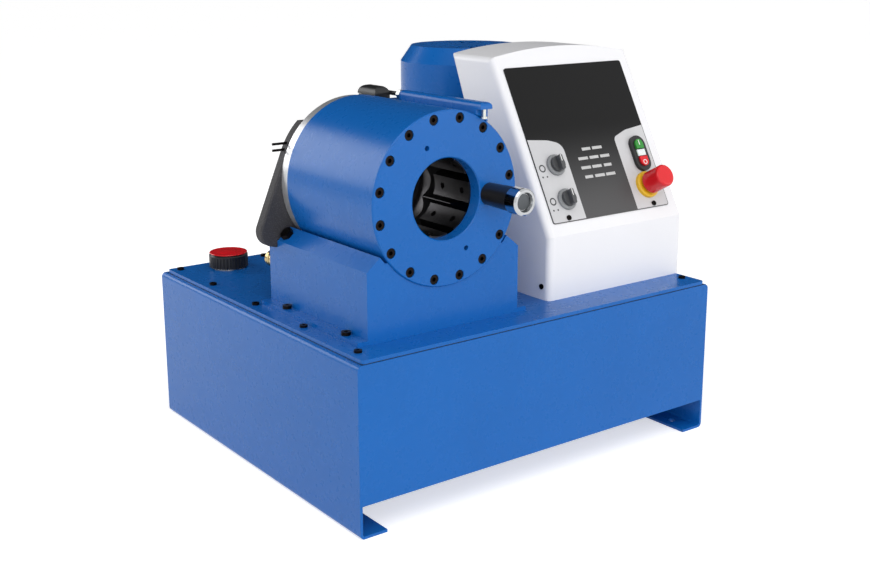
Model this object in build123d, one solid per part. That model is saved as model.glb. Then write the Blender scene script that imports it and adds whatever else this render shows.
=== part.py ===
from build123d import *
import os
from math import atan, cos, degrees, radians, sin, sqrt, tan

# Hose crimping machine. Millimetres, +Z up, the operator stands at -Y.
# The origin is on the floor, midway between the four anchor holes of the feet.

# ---------------------------------------------------------------- driving dimensions
running_gap = 0.3          # between pieces that slide or are only loosely held
shaft_gap = 0.05           # radial, shafts in their bearings
hole_gap = 0.2             # radial, screws in their holes
seat_gap = 0.3             # between curved seats on one body

# tank
tank_width = 650.0
tank_depth = 580.0
tank_wall = 4.0
tank_shell_top = 237.0
tank_floor_height = 46.0
tank_bend = 7.0
foot_width = 42.0
foot_hole_radius = 5.5
foot_hole_inset = 24.0
foot_hole_end_inset = 40.0
rim_width = 34.0
gasket_thickness = 1.0
lid_thickness = 5.0
lid_side_inset = 8.0
lid_front_inset = 1.5
lid_screw_inset = 23.0
lid_screw_front_inset = 34.0
lid_screw_pitch = 136.0
lid_screws_per_side = 4
lid_screws_at_back = 5
lid_screw_radius = 3.0
lid_screw_head_radius = 5.5
lid_screw_head_height = 3.3
lid_corner = 5.0
drain_across = 24.0
drain_thread_radius = 8.0
drain_head_height = 9.0
drain_washer = 2.0
drain_height = 72.0
gauge_x = tank_width / 2 - 125.0
gauge_width = 26.0
gauge_depth = 16.0
gauge_stud_radius = 5.0
gauge_stud_heights = (110.0, 187.0)
gauge_end = 17.0

# fasteners used in several places
hex_bolt_radius = 5.0
hex_bolt_across = 17.0
hex_bolt_head_height = 7.0
hex_bolt_length = 24.0
small_screw_radius = 2.5
small_screw_length = 8.0
small_screw_head_radius = 4.0
small_screw_head_height = 2.0

# oil filler
filler_x = -tank_width / 2 + 94.0
filler_y = tank_depth / 2 - 52.0
filler_neck_radius = 22.0
filler_neck_height = 12.0
filler_neck_wall = 3.0
filler_cap_radius = 31.0
filler_cap_height = 22.0
filler_cap_wall = 3.0
filler_cap_ribs = 36
filler_cap_groove = 1.2

# crimping head
head_x = -tank_width / 2 + 175.0
head_z = 422.0
head_radius = 119.0
head_bore_radius = 101.0
housing_front = -224.0
housing_back = -27.0
ring_thickness = 20.0
throat_radius = 55.6
ring_bolt_circle = 109.0
ring_bolt_count = 16
ring_bolt_radius = 4.0
ring_bolt_head_radius = 6.5
ring_bolt_head_height = 8.0
ring_bolt_length = 42.0
ring_bolt_hole_depth = 34.0
ring_counterbore_depth = 9.0
ring_chamfer = 1.5
housing_chamfer = 2.0
port_depth = 8.0
feed_radius = 3.0
pilot_hole_radius = 3.6
pilot_hole_depth = 12.0
pilot_hole_circle = 78.0
pilot_hole_angle = 65.5

# crimping jaws and piston
jaw_count = 8
jaw_length = 80.0
jaw_travel = 16.0
jaw_slope = 0.32
jaw_closed_radius = 38.0
jaw_closed_gap = 0.6
jaw_shoe_half_width = 24.0
jaw_back_radius = 72.0
jaw_pin_hole_radius = 4.5
jaw_pin_hole_depth = 6.0
jaw_pin_hole_spacing = 44.0
tee_neck_half_width = 6.0
tee_head_half_width = 10.0
tee_neck_height = 4.0
tee_head_height = 4.0
tee_length = 36.0
tee_front_margin = 4.0
tee_root = 1.5             # how far the rail's neck reaches into its seat
piston_front = -172.0
piston_skirt_length = 92.0
piston_tube_inner_radius = 56.0
piston_tube_outer_radius = 62.0
piston_tube_back = -7.0
piston_rib_radius = 64.5
seal_groove_depth = 5.0
seal_width = 6.0
seal_groove_back = 5.0
seal_side_gap = 0.2
seal_lip_gap = 0.1

# back of the head
flange_radius = 117.0
flange_thickness = 17.0
flange_spigot_length = 49.0
flange_bolt_count = 8
rod_seal_width = 7.0
rod_seal_depth = 4.0
rear_plate_thickness = 18.0
rear_plate_radius = 116.5
rear_plate_flat = 85.0
rear_plate_ear_x = 131.0
rear_plate_ear_drop = 69.0
rear_plate_ear_radius = 22.0
rear_plate_hole_radius = 66.0
rear_plate_round = 3.0
rear_screw_count = 4
rear_screw_circle = 92.0
rear_screw_radius = 4.0
rear_screw_head_radius = 7.0
rear_screw_head_height = 4.4
rear_screw_length = 26.0
edge_pin_radius = 1.8
edge_pin_tip = 125.0
edge_pin_embed = 10.0
edge_pin_heights = (46.0, 55.0)

# stop rail on top of the head
rail_x = head_x + 58.0
rail_width = 20.0
rail_top = 547.0
rail_front = -254.0
rail_back = -67.0
rail_bottom_in_front = 538.0
rail_round = 6.0
rail_bar_top = 533.5
rod_radius = 3.2
rod_x = head_x + 53.0
rod_z = 541.0
rod_embed = 14.0
nut_across = 12.0
nut_thickness = 8.0
switch_x = head_x + 38.0
switch_width = 26.0
switch_front = -38.0
switch_back = 8.0
switch_top = 551.0
switch_round = 11.0
rail_screw_radius = 2.8
rail_screw_inset = 5.0
rail_screw_drop = 10.0
rail_screw_embed = 7.0
rail_screw_head = 4.5
rail_screw_head_height = 3.0

# knob on the front ring
knob_reach = 72.0
knob_rise = -1.0
knob_stem_length = 52.0
knob_stem_root_radius = 15.5
knob_stem_end_radius = 17.0
knob_spigot_radius = 7.0
knob_spigot_length = 14.0
knob_radius = 18.5
knob_length = 23.0
knob_recess_depth = 5.0
knob_recess_radius = 13.5
knob_pin_radius = 6.0
knob_pin_length = 14.0
knob_bevel = 2.0

# cradle
cradle_width = 254.0
cradle_front = -241.0
cradle_back = 14.0
cradle_top = 340.0
cradle_plate = 12.0
cradle_fold_run = 21.0
cradle_fold_rise = 17.6
cradle_flange_width = 16.0
cradle_flange_thickness = 6.0
cradle_screw_ys = (-201.0, -46.0)
cradle_screw_radius = 4.0
cradle_screw_head_radius = 6.5
cradle_screw_head_height = 5.0
saddle_y = -50.0
top_bolt_y = -23.0
coupling_radius = 12.0
coupling_length = 24.0
coupling_height = 60.0
coupling_inset = 15.0
coupling_stud_radius = 6.0
tube_radius = 8.0
tube_wall = 2.0
tube_collar_radius = 13.0
tube_collar_height = 12.0
tube_ys = (-196.0, -110.0)

# motor and pump
motor_x = tank_width / 2 - 145.0
motor_y = tank_depth / 2 - 150.0
motor_flange_radius = 115.5
motor_flange_thickness = 12.0
motor_bolt_circle = 105.0
motor_bolt_count = 4
motor_body_radius = 94.0
motor_body_bottom = 268.0
motor_body_top = 466.0
motor_bore_radius = 61.0
fin_radius = 106.0
fin_count = 24
fin_thickness = 4.0
fin_end_inset = 4.0
rotor_radius = 60.0
rotor_length = 120.0
shield_thickness = 14.0
shield_ear_width = 16.0
shaft_radius = 14.0
shaft_bottom = 205.0
shaft_top = 530.0
fan_radius = 88.0
fan_hub_radius = 22.0
fan_height = 32.0
fan_disc_thickness = 4.0
fan_blades = 7
fan_blade_thickness = 4.0
fan_lift = 12.0
cowl_radius = 111.0
cowl_top = 588.0
cowl_shoulder = 562.0
cowl_disc_radius = 93.0
cowl_wall = 2.5
cowl_bottom = 446.0
cowl_slot_count = 18
cowl_slot_width = 6.0
cowl_slot_inner = 32.0
cowl_slot_outer = 80.0
cowl_screw_count = 4
terminal_width = 96.0
terminal_height = 92.0
terminal_bottom = 320.0
terminal_back = motor_y + 136.0
terminal_round = 6.0
pilot_radius = 60.0
pilot_depth = 18.0
bell_radius = 58.0
bell_height = 30.0
bell_wall = 26.0
pump_radius = 46.0
pump_height = 94.0
strainer_radius = 34.0
strainer_height = 42.0
strainer_slots = 12
strainer_slot_width = 5.0
strainer_wall = 4.0

# console
console_left = head_x + 196.0
console_right = tank_width / 2
console_front = -230.0
console_knee = 338.0
console_top_front_y = -93.0
console_top = 587.0
console_crown = 12.0
console_top_back_y = motor_y - cowl_radius - 24.0
console_back_y = console_top_back_y - 35.0
console_back_knee = 500.0
console_wall = 3.0
console_corner = 9.0
frame_height = 30.0
frame_wall = 4.0
side_screw_height = 20.0
side_screw_inset = 15.0
cover_opening_inset = 40.0
cover_lap = 12.0
cover_bottom = 40.0
cover_top_drop = 34.0
cover_thickness = 2.0
cover_screw_inset = 6.0
gland_radius = 12.0
gland_length = 20.0
gland_thread_length = 10.0
gland_bore_radius = 5.0
gland_x = console_left + 66.0
gland_height = 62.0

# control panel, in its own frame: x across, s up the slope
panel_left_margin = 15.0
panel_right_margin = 23.0
panel_bottom = 19.0
panel_top = 266.0
panel_thickness = 1.6
panel_corner = 4.0
panel_screw_inset = 31.5
panel_screw_s = 25.0
selector_x = console_left + 53.0
selector_s_places = (53.0, 107.0)
barrel_radius = 11.0
barrel_length = 20.0
bezel_radius = 16.0
bezel_height = 5.0
dial_radius = 12.0
dial_height = 5.0
dial_grip_width = 6.5
dial_grip_height = 8.0
dial_spigot_radius = 6.0
dial_spigot_length = 12.0
button_x = console_right - 51.0
button_s = 107.0
surround_length = 58.0
surround_width = 30.0
surround_height = 6.0
surround_depth = 18.0
surround_rim = 4.0
pocket_depth = 14.0
button_end_rim = 3.0
button_height = 3.0
button_length = 14.0
button_travel = 3.0
lens_half_length = 5.0
lens_wall = 1.5
lens_height = 2.0
lens_embed = 5.0
estop_x = console_right - 57.0
estop_s = 55.7
collar_radius = 21.0
collar_height = 7.0
collar_bore_radius = 8.0
collar_bore_depth = 14.0
estop_radius = 17.5
estop_height = 34.0
estop_lift = 12.0
estop_travel = 4.0
estop_round = 4.0

# ---------------------------------------------------------------- derived dimensions
tank_half_width = tank_width / 2
tank_half_depth = tank_depth / 2
lid_bottom = tank_shell_top + gasket_thickness
lid_top = lid_bottom + lid_thickness
lid_half_width = tank_half_width - lid_side_inset
lid_front = -tank_half_depth + lid_front_inset
lid_back = tank_half_depth - lid_side_inset
lid_screw_x = tank_half_width - lid_screw_inset
lid_screw_back_y = tank_half_depth - lid_screw_inset
ring_front = housing_front - ring_thickness
flange_back = housing_back + flange_thickness
rear_plate_back = flange_back + rear_plate_thickness
jaw_angle = 360 / jaw_count
jaw_front_y = housing_front + running_gap
jaw_back_y = jaw_front_y + jaw_length
jaw_open_radius = jaw_closed_radius + jaw_travel
piston_travel = jaw_travel / jaw_slope
slope_angle = degrees(atan(jaw_slope))
piston_radius = head_bore_radius - running_gap
piston_back = piston_front + piston_skirt_length
cradle_left = head_x - cradle_width / 2
cradle_right = head_x + cradle_width / 2
cradle_flange_top = lid_top + cradle_flange_thickness
cradle_fold_angle = degrees(atan(cradle_fold_rise / cradle_fold_run))
cradle_fold_back = flange_back - 1
coupling_place = (cradle_left + coupling_inset, cradle_back, lid_top + coupling_height)
pump_top = lid_top - pilot_depth - bell_height
console_middle = (console_left + console_right) / 2
panel_run = console_top_front_y - console_front
panel_rise = console_top - console_knee
panel_tilt = degrees(atan(panel_run / panel_rise))
panel_left = console_left + panel_left_margin
panel_right = console_right - panel_right_margin
panel_middle_s = (panel_bottom + panel_top) / 2

os.makedirs("parts", exist_ok=True)


# ---------------------------------------------------------------- small helpers
def write(node, pieces):
    """Write one node; several separate solids may share it."""
    shapes = pieces if isinstance(pieces, list) else [pieces]
    solids = [solid for shape in shapes for solid in shape.solids()]
    export_step(solids[0] if len(solids) == 1 else Compound(children=solids), f"parts/{node}.step")


def block(x0, x1, y0, y1, z0, z1):
    """A box between two corners."""
    centre = Pos((x0 + x1) / 2, (y0 + y1) / 2, (z0 + z1) / 2)
    return centre * Box(x1 - x0, y1 - y0, z1 - z0)


def rod(radius, z0, z1):
    """A cylinder along Z between two heights."""
    return Pos(0, 0, (z0 + z1) / 2) * Cylinder(radius, z1 - z0)


def tube(outer, inner, z0, z1):
    """A tube along Z between two heights; the cut runs past both ends."""
    return rod(outer, z0, z1) - rod(inner, z0 - 1, z1 + 1)


def turned(points):
    """A solid turned about Z from its (radius, height) outline."""
    outline = make_face(Polyline(*[(r, 0, z) for r, z in points], close=True))
    return revolve(outline, Axis.Z)


def outline_face(points, rounds=()):
    """A flat face from an outline; rounds is a list of (radius, corner numbers)."""
    face = make_face(Polyline(*points, close=True))
    for radius, corners in rounds:
        chosen = [face.vertices().sort_by_distance(points[n])[0] for n in corners]
        face = fillet(chosen, radius)
    return face


def prism_y(points, y0, y1, rounds=()):
    """A prism along Y from an (x, z) outline."""
    plane = Plane(origin=(0, y1, 0), x_dir=(1, 0, 0), z_dir=(0, -1, 0))
    return extrude(plane * outline_face(points, rounds), y1 - y0)


def prism_x(points, x0, x1, rounds=()):
    """A prism along X from a (y, z) outline."""
    plane = Plane(origin=(x0, 0, 0), x_dir=(0, 1, 0), z_dir=(1, 0, 0))
    return extrude(plane * outline_face(points, rounds), x1 - x0)


def prism_z(points, z0, z1, rounds=()):
    """A prism along Z from an (x, y) outline."""
    return extrude(Pos(0, 0, z0) * outline_face(points, rounds), z1 - z0)


def cut_all(shape, cutters):
    for cutter in cutters:
        shape = shape - cutter
    return shape


def polar(radius, angle):
    return radius * cos(radians(angle)), radius * sin(radians(angle))


def socket_screw(radius, length, head_radius, head_height):
    """A socket screw along -Z whose head stands on z = 0."""
    screw = rod(head_radius, 0, head_height) + rod(radius, -length, 0)
    socket = extrude(RegularPolygon(head_radius * 0.5, 6), head_height)
    return screw - Pos(0, 0, head_height / 2) * socket


def hex_screw(radius, length, across, head_height):
    """A hexagon screw along -Z whose head stands on z = 0."""
    head = extrude(RegularPolygon(across / 2, 6, major_radius=False), head_height)
    return head + rod(radius, -length, 0)


def facing_front(shape, x, y, z):
    """Turn a shape made about Z so that its +Z points to the front (-Y), and move it."""
    return Pos(x, y, z) * Rot(90, 0, 0) * shape


def facing_back(shape, x, y, z):
    """Turn a shape made about Z so that its +Z points to the back (+Y), and move it."""
    return Pos(x, y, z) * Rot(-90, 0, 0) * shape


def round_head(shape, count, first=0.0):
    """Copies of a shape made beside the head's axis, turned round that axis."""
    return [Pos(head_x, 0, head_z) * Rot(0, first + n * 360 / count, 0) * shape for n in range(count)]


def at_motor(shape):
    return Pos(motor_x, motor_y, 0) * shape


def on_panel(shape, x, s):
    """Place a shape made about Z on the sloped face, +Z along its outward normal."""
    normal = (0, -cos(radians(panel_tilt)), sin(radians(panel_tilt)))
    slope = Plane(origin=(0, console_front, console_knee), x_dir=(1, 0, 0), z_dir=normal)
    return slope.location * Pos(x, s, 0) * shape


# ---------------------------------------------------------------- tank
def foot_hole_places():
    x = tank_half_width - foot_hole_inset
    y = tank_half_depth - foot_hole_end_inset
    return [(sx * x, sy * y) for sx in (-1, 1) for sy in (-1, 1)]


def lid_screw_places():
    """Rows along both sides, and one across the back."""
    first = -tank_half_depth + lid_screw_front_inset
    sides = [(sx * lid_screw_x, first + n * lid_screw_pitch)
             for sx in (-1, 1) for n in range(lid_screws_per_side)]
    step = 2 * lid_screw_x / (lid_screws_at_back - 1)
    return sides + [(-lid_screw_x + n * step, lid_screw_back_y) for n in range(lid_screws_at_back)]


def folded_side():
    """The left side plate, folded in at the floor as a foot and at the top as a rim."""
    left, top, wall = -tank_half_width, tank_shell_top, tank_wall
    outline = [(left, 0), (left + foot_width, 0), (left + foot_width, wall), (left + wall, wall),
               (left + wall, top - wall), (left + rim_width, top - wall), (left + rim_width, top),
               (left, top)]
    rounds = [(tank_bend, (0, 7)), (tank_bend - wall, (3, 4))]
    return prism_y(outline, -tank_half_depth, tank_half_depth, rounds)


def tank_shell():
    """One welded shell: two folded sides, front and back panels, floor, and the rim's ends."""
    inner, depth = tank_half_width - tank_wall, tank_half_depth
    floor, top = tank_floor_height, tank_shell_top
    side = folded_side()
    shell = side + mirror(side, Plane.YZ)
    shell += block(-inner, inner, -depth, -depth + tank_wall, floor, top)
    shell += block(-inner, inner, depth - tank_wall, depth, floor, top)
    shell += block(-inner, inner, -depth, depth, floor, floor + tank_wall)
    for y0 in (-depth, depth - rim_width):
        shell += block(-inner, inner, y0, y0 + rim_width, top - tank_wall, top)
    shell = cut_all(shell, [Pos(x, y, 0) * rod(foot_hole_radius, -1, tank_wall + 1)
                            for x, y in foot_hole_places()])
    shell = cut_all(shell, [Pos(x, y, 0) * rod(lid_screw_radius + hole_gap, top - tank_wall - 1, top + 1)
                            for x, y in lid_screw_places()])
    drain_hole = facing_back(rod(drain_thread_radius + hole_gap, -tank_wall - 1, 1), 0, depth, drain_height)
    gauge_holes = [facing_back(rod(gauge_stud_radius + hole_gap, -tank_wall - 1, 1), gauge_x, depth, z)
                   for z in gauge_stud_heights]
    return cut_all(shell, [drain_hole] + gauge_holes)


def lid_outline(inset):
    return [(-lid_half_width + inset, lid_front + inset), (lid_half_width - inset, lid_front + inset),
            (lid_half_width - inset, lid_back - inset), (-lid_half_width + inset, lid_back - inset)]


def lid_screw_holes():
    return [Pos(x, y, 0) * rod(lid_screw_radius + hole_gap, tank_shell_top - 1, lid_top + 1)
            for x, y in lid_screw_places()]


def lid_gasket():
    ring = prism_z(lid_outline(0), tank_shell_top, lid_bottom)
    window = prism_z(lid_outline(rim_width - lid_side_inset), tank_shell_top - 1, lid_bottom + 1)
    return cut_all(ring - window, lid_screw_holes())


def lid_openings():
    """Holes in the lid: filler, pump, pressure tubes, cradle screws, console cable."""
    z0, z1 = lid_bottom - 1, lid_top + 1
    filler = Pos(filler_x, filler_y, 0) * rod(filler_neck_radius - filler_neck_wall, z0, z1)
    pump = at_motor(rod(pilot_radius + running_gap, z0, z1))
    tubes = [Pos(head_x, y, 0) * rod(tube_radius + hole_gap, z0, z1) for y in tube_ys]
    cradle = [Pos(x, y, 0) * rod(cradle_screw_radius + hole_gap, z0, z1) for x, y in cradle_screw_places()]
    motor = [at_motor(Pos(*polar(motor_bolt_circle, a), 0)
                      * rod(hex_bolt_radius + hole_gap, z0, z1)) for a in motor_bolt_angles()]
    return [filler, pump] + tubes + cradle + motor


def tank_lid():
    plate = prism_z(lid_outline(0), lid_bottom, lid_top, [(lid_corner, (0, 1, 2, 3))])
    return cut_all(plate, lid_screw_holes() + lid_openings())


def lid_screws():
    length = lid_thickness + gasket_thickness + tank_wall + 2
    screw = socket_screw(lid_screw_radius, length, lid_screw_head_radius, lid_screw_head_height)
    return [Pos(x, y, lid_top) * screw for x, y in lid_screw_places()]


def drain_plug():
    plug = hex_screw(drain_thread_radius, 3 * tank_wall, drain_across, drain_head_height)
    plug += rod(drain_across / 2 + drain_washer, 0, drain_washer)
    return facing_back(plug, 0, tank_half_depth, drain_height)


def level_gauge():
    """A clear sight tube between two studs, on the back panel."""
    low, high = gauge_stud_heights
    body = block(gauge_x - gauge_width / 2, gauge_x + gauge_width / 2, tank_half_depth,
                 tank_half_depth + gauge_depth, low - gauge_end, high + gauge_end)
    body = fillet(body.edges().filter_by(Axis.Y), gauge_width / 3)
    studs = [facing_back(rod(gauge_stud_radius, -tank_wall - 6, 1), gauge_x, tank_half_depth, z)
             for z in gauge_stud_heights]
    return body + studs[0] + studs[1]


# ---------------------------------------------------------------- oil filler
def filler_neck():
    neck = tube(filler_neck_radius, filler_neck_radius - filler_neck_wall, lid_top,
                lid_top + filler_neck_height)
    foot = tube(filler_neck_radius + 4, filler_neck_radius - filler_neck_wall, lid_top, lid_top + 2)
    return Pos(filler_x, filler_y, 0) * (neck + foot)


def filler_cap():
    """A knurled cap with a shallow dished top, turned about the neck."""
    bottom = lid_top + 2 + running_gap
    top = bottom + filler_cap_height
    wall, inside = filler_cap_wall, filler_neck_radius + running_gap
    cap = turned([(inside, bottom), (filler_cap_radius, bottom), (filler_cap_radius, top - 3),
                  (filler_cap_radius - 3, top), (0, top), (0, top - wall - 4), (inside, top - wall - 4)])
    groove = Pos(filler_cap_radius, 0, 0) * rod(filler_cap_groove, bottom - 1, top - 4)
    grooves = [Rot(0, 0, n * 360 / filler_cap_ribs) * groove for n in range(filler_cap_ribs)]
    return Pos(filler_x, filler_y, 0) * cut_all(cap, grooves)


# ---------------------------------------------------------------- cradle
def cradle_screw_places():
    offset = cradle_flange_width - cradle_screw_head_radius - 1.5
    return [(x, y) for x in (cradle_left - offset, cradle_right + offset) for y in cradle_screw_ys]


def on_fold(shape, side):
    """Place a shape made about Z on a fold, +Z along its outward normal."""
    x = head_x + side * (cradle_width - cradle_fold_run) / 2
    return Pos(x, top_bolt_y, cradle_top + cradle_fold_rise / 2) * Rot(0, side * cradle_fold_angle, 0) * shape


def cradle():
    """A welded box: side plates folded up towards the head, saddle plates, back plate, flange."""
    left, right = cradle_left, cradle_right
    front, back, top, plate = cradle_front, cradle_back, cradle_top, cradle_plate
    frame = block(left - cradle_flange_width, right + cradle_flange_width, front, back, lid_top,
                  cradle_flange_top)
    frame -= block(left + plate, right - plate, front + plate, back - plate, lid_top - 1,
                   cradle_flange_top + 1)
    for x0 in (left, right - plate):
        frame += block(x0, x0 + plate, front, back, lid_top, top)
    across, down = plate * sin(radians(cradle_fold_angle)), plate * cos(radians(cradle_fold_angle))
    run, rise = cradle_fold_run, cradle_fold_rise
    fold = [(0, 0), (run, rise), (run + across, rise - down), (across, -down), (0, -down)]
    for side, x0 in ((1, left), (-1, right)):
        frame += prism_y([(x0 + side * x, top + z) for x, z in fold], front, cradle_fold_back)
    for y0, y1 in ((front, front + plate), (saddle_y, saddle_y + plate)):
        frame += block(left, right, y0, y1, lid_top, top)
    frame += block(left, right, back - plate, back, lid_top, top)
    seat = facing_front(rod(head_radius + seat_gap, -flange_back, -front + 1), head_x, 0, head_z)
    screws = [Pos(x, y, 0) * rod(cradle_screw_radius + hole_gap, lid_top - 1, cradle_flange_top + 1)
              for x, y in cradle_screw_places()]
    bolts = [on_fold(rod(hex_bolt_radius + hole_gap, -hex_bolt_length - 1, 1), side) for side in (-1, 1)]
    coupling = facing_back(rod(coupling_stud_radius + hole_gap, -plate - 1, 1), *coupling_place)
    return cut_all(frame, [seat, coupling] + screws + bolts)


def cradle_screws():
    length = cradle_flange_thickness + lid_thickness + 4
    screw = socket_screw(cradle_screw_radius, length, cradle_screw_head_radius, cradle_screw_head_height)
    return [Pos(x, y, cradle_flange_top) * screw for x, y in cradle_screw_places()]


def brass_coupling():
    """A round coupling with a grooved collar on the back of the cradle."""
    r, length = coupling_radius, coupling_length
    body = turned([(0, -cradle_plate), (coupling_stud_radius, -cradle_plate),
                   (coupling_stud_radius, 0), (r, 0), (r, length * 0.4), (r - 2, length * 0.45),
                   (r - 2, length * 0.6), (r, length * 0.65), (r, length - 2), (r - 2, length),
                   (r * 0.5, length), (r * 0.5, length * 0.4), (0, length * 0.4)])
    return facing_back(body, *coupling_place)


def pressure_tubes():
    """Two steel tubes from below the lid up to the ports in the bottom of the head."""
    top = head_z - head_radius + port_depth
    collar_base = head_z - head_radius - seat_gap - tube_collar_height
    pieces = []
    for y in tube_ys:
        pipe = rod(tube_radius, lid_bottom - 20, top) + rod(tube_collar_radius, collar_base,
                                                            collar_base + tube_collar_height)
        pipe += rod(tube_collar_radius, lid_top, lid_top + tube_collar_height)
        pieces.append(Pos(head_x, y, 0) * (pipe - rod(tube_radius - tube_wall, lid_bottom - 21, top + 1)))
    return pieces


# ---------------------------------------------------------------- crimping head
def ring_bolt_angles():
    return [(n + 0.5) * 360 / ring_bolt_count for n in range(ring_bolt_count)]


def head_housing():
    barrel = tube(head_radius, head_bore_radius, -housing_back, -housing_front)
    barrel = chamfer(barrel.edges().filter_by(GeomType.CIRCLE).group_by(Axis.Z)[0], housing_chamfer)
    front_holes = [Pos(*polar(ring_bolt_circle, a), 0)
                   * rod(ring_bolt_radius + hole_gap, -housing_front - ring_bolt_hole_depth, -housing_front + 1)
                   for a in ring_bolt_angles()]
    back_holes = [Pos(*polar(ring_bolt_circle, a), 0)
                  * rod(ring_bolt_radius + hole_gap, -housing_back - 1, -housing_back + ring_bolt_hole_depth)
                  for a in flange_bolt_angles()]
    housing = facing_front(cut_all(barrel, front_holes + back_holes), head_x, 0, head_z)
    bottom = head_z - head_radius
    ports = [Pos(head_x, y, 0) * rod(tube_radius + hole_gap, bottom - 5, bottom + port_depth + running_gap)
             for y in tube_ys]
    feeds = [Pos(head_x, y, 0) * rod(feed_radius, bottom, head_z - head_bore_radius + 3) for y in tube_ys]
    return cut_all(housing, ports + feeds)


def front_ring():
    face = ring_thickness
    ring = tube(head_radius, throat_radius, 0, face)
    ring = chamfer(ring.edges().filter_by(GeomType.CIRCLE).group_by(Axis.Z)[-1], ring_chamfer)
    holes = [Pos(*polar(ring_bolt_circle, a), 0) * rod(ring_bolt_radius + hole_gap, -1, face + 1)
             for a in ring_bolt_angles()]
    sinks = [Pos(*polar(ring_bolt_circle, a), 0)
             * rod(ring_bolt_head_radius + 0.7, face - ring_counterbore_depth, face + 1)
             for a in ring_bolt_angles()]
    pilots = [Pos(*polar(pilot_hole_circle, a), 0) * rod(pilot_hole_radius, face - pilot_hole_depth, face + 1)
              for a in (180 - pilot_hole_angle, -pilot_hole_angle)]
    knob = Pos(knob_reach, knob_rise, 0) * rod(knob_spigot_radius + hole_gap, face - knob_spigot_length, face + 1)
    return facing_front(cut_all(ring, holes + sinks + pilots + [knob]), head_x, housing_front, head_z)


def tee_section(gap, root):
    """The tee profile across the slope: local x across, local y outward from the jaw's back."""
    neck, head = tee_neck_half_width + gap, tee_head_half_width + gap
    shoulder, floor = -tee_neck_height + gap, -tee_neck_height - tee_head_height - gap
    return [(-neck, root), (-neck, shoulder), (-head, shoulder), (-head, floor), (head, floor),
            (head, shoulder), (neck, shoulder), (neck, root)]


def tee_bar(start, length, gap, root):
    """A tee along the slope, from start to start + length towards the front."""
    forward = Vector(jaw_slope, -1, 0).normalized()
    place = Vector(jaw_back_radius, jaw_back_y, 0) + forward * start
    section = Plane(origin=place, x_dir=(0, 0, -1), z_dir=forward)
    return extrude(section * outline_face(tee_section(gap, root)), length)


def slope_radius(y):
    """Distance of the jaw's sloped back from the head's axis at a place along Y."""
    return jaw_back_radius + jaw_slope * (jaw_back_y - y)


def jaw():
    """One crimping jaw: a wedge nose, parallel shoe, sloped back and tee slot, along +X."""
    half = tan(radians(jaw_angle / 2))
    start = jaw_open_radius - 8
    side_gap = jaw_closed_gap / 2 / cos(radians(jaw_angle / 2))
    knee = jaw_travel + (jaw_shoe_half_width + side_gap) / half
    outer = slope_radius(jaw_front_y) + 5
    nose = (start - jaw_travel) * half - side_gap
    shoe = jaw_shoe_half_width
    outline = [(start, -nose), (knee, -shoe), (outer, -shoe), (outer, shoe), (knee, shoe), (start, nose)]
    body = prism_y(outline, jaw_front_y, jaw_back_y)
    keep = prism_z([(start - 1, jaw_front_y - 1), (slope_radius(jaw_front_y - 1), jaw_front_y - 1),
                    (slope_radius(jaw_back_y + 1), jaw_back_y + 1), (start - 1, jaw_back_y + 1)], -shoe - 1, shoe + 1)
    bore = Pos(jaw_travel, 0, 0) * Rot(90, 0, 0) * Cylinder(jaw_closed_radius, 8 * jaw_length)
    slot = tee_bar(-jaw_length, jaw_length * 3, running_gap, tee_head_height)
    middle = (jaw_front_y + jaw_back_y) / 2
    holes = [Pos(jaw_open_radius, middle + d * jaw_pin_hole_spacing / 2, 0) * Rot(0, 90, 0)
             * Cylinder(jaw_pin_hole_radius, 2 * jaw_pin_hole_depth) for d in (-1, 1)]
    return cut_all((body & keep) - bore - slot, holes)


def piston_slot():
    """The cutter for one jaw's flat sloped seat in the piston, open at the front."""
    start = piston_tube_inner_radius - 8
    front, back = piston_front - 1, piston_front + jaw_length
    lift = running_gap / cos(radians(slope_angle))
    half = jaw_shoe_half_width + running_gap
    return prism_z([(start, front), (slope_radius(front) + lift, front),
                    (slope_radius(back) + lift, back), (start, back)], -half, half)


def piston():
    """An annular piston: skirt with eight sloped seats, seal groove, and a guide tube behind."""
    back = -piston_back
    groove = back + seal_groove_back
    profile = [(piston_tube_inner_radius, -piston_tube_back), (piston_tube_outer_radius, -piston_tube_back),
               (piston_tube_outer_radius, back), (piston_radius, back), (piston_radius, groove),
               (piston_radius - seal_groove_depth, groove),
               (piston_radius - seal_groove_depth, groove + seal_width), (piston_radius, groove + seal_width),
               (piston_radius, -piston_front), (piston_rib_radius, -piston_front),
               (piston_rib_radius, -piston_front - jaw_length), (piston_tube_inner_radius, -piston_front - jaw_length)]
    body = cut_all(facing_front(turned(profile), head_x, 0, head_z), round_head(piston_slot(), jaw_count))
    for key in round_head(guide_key(), jaw_count):
        body += key
    return body


def guide_key():
    """The tee rail on a seat, near the piston's front edge; the jaw's slot runs on it."""
    front_edge = (jaw_back_y - piston_front) / cos(radians(slope_angle))
    return tee_bar(front_edge - tee_front_margin - tee_length, tee_length, 0, tee_root)


def piston_seal():
    start = -piston_back + seal_groove_back + seal_side_gap
    ring = tube(head_bore_radius - seal_lip_gap, piston_radius - seal_groove_depth + seal_side_gap, start,
                start + seal_width - 2 * seal_side_gap)
    return facing_front(ring, head_x, 0, head_z)


def flange_bolt_angles():
    return [(n + 0.5) * 360 / flange_bolt_count for n in range(flange_bolt_count)]


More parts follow.
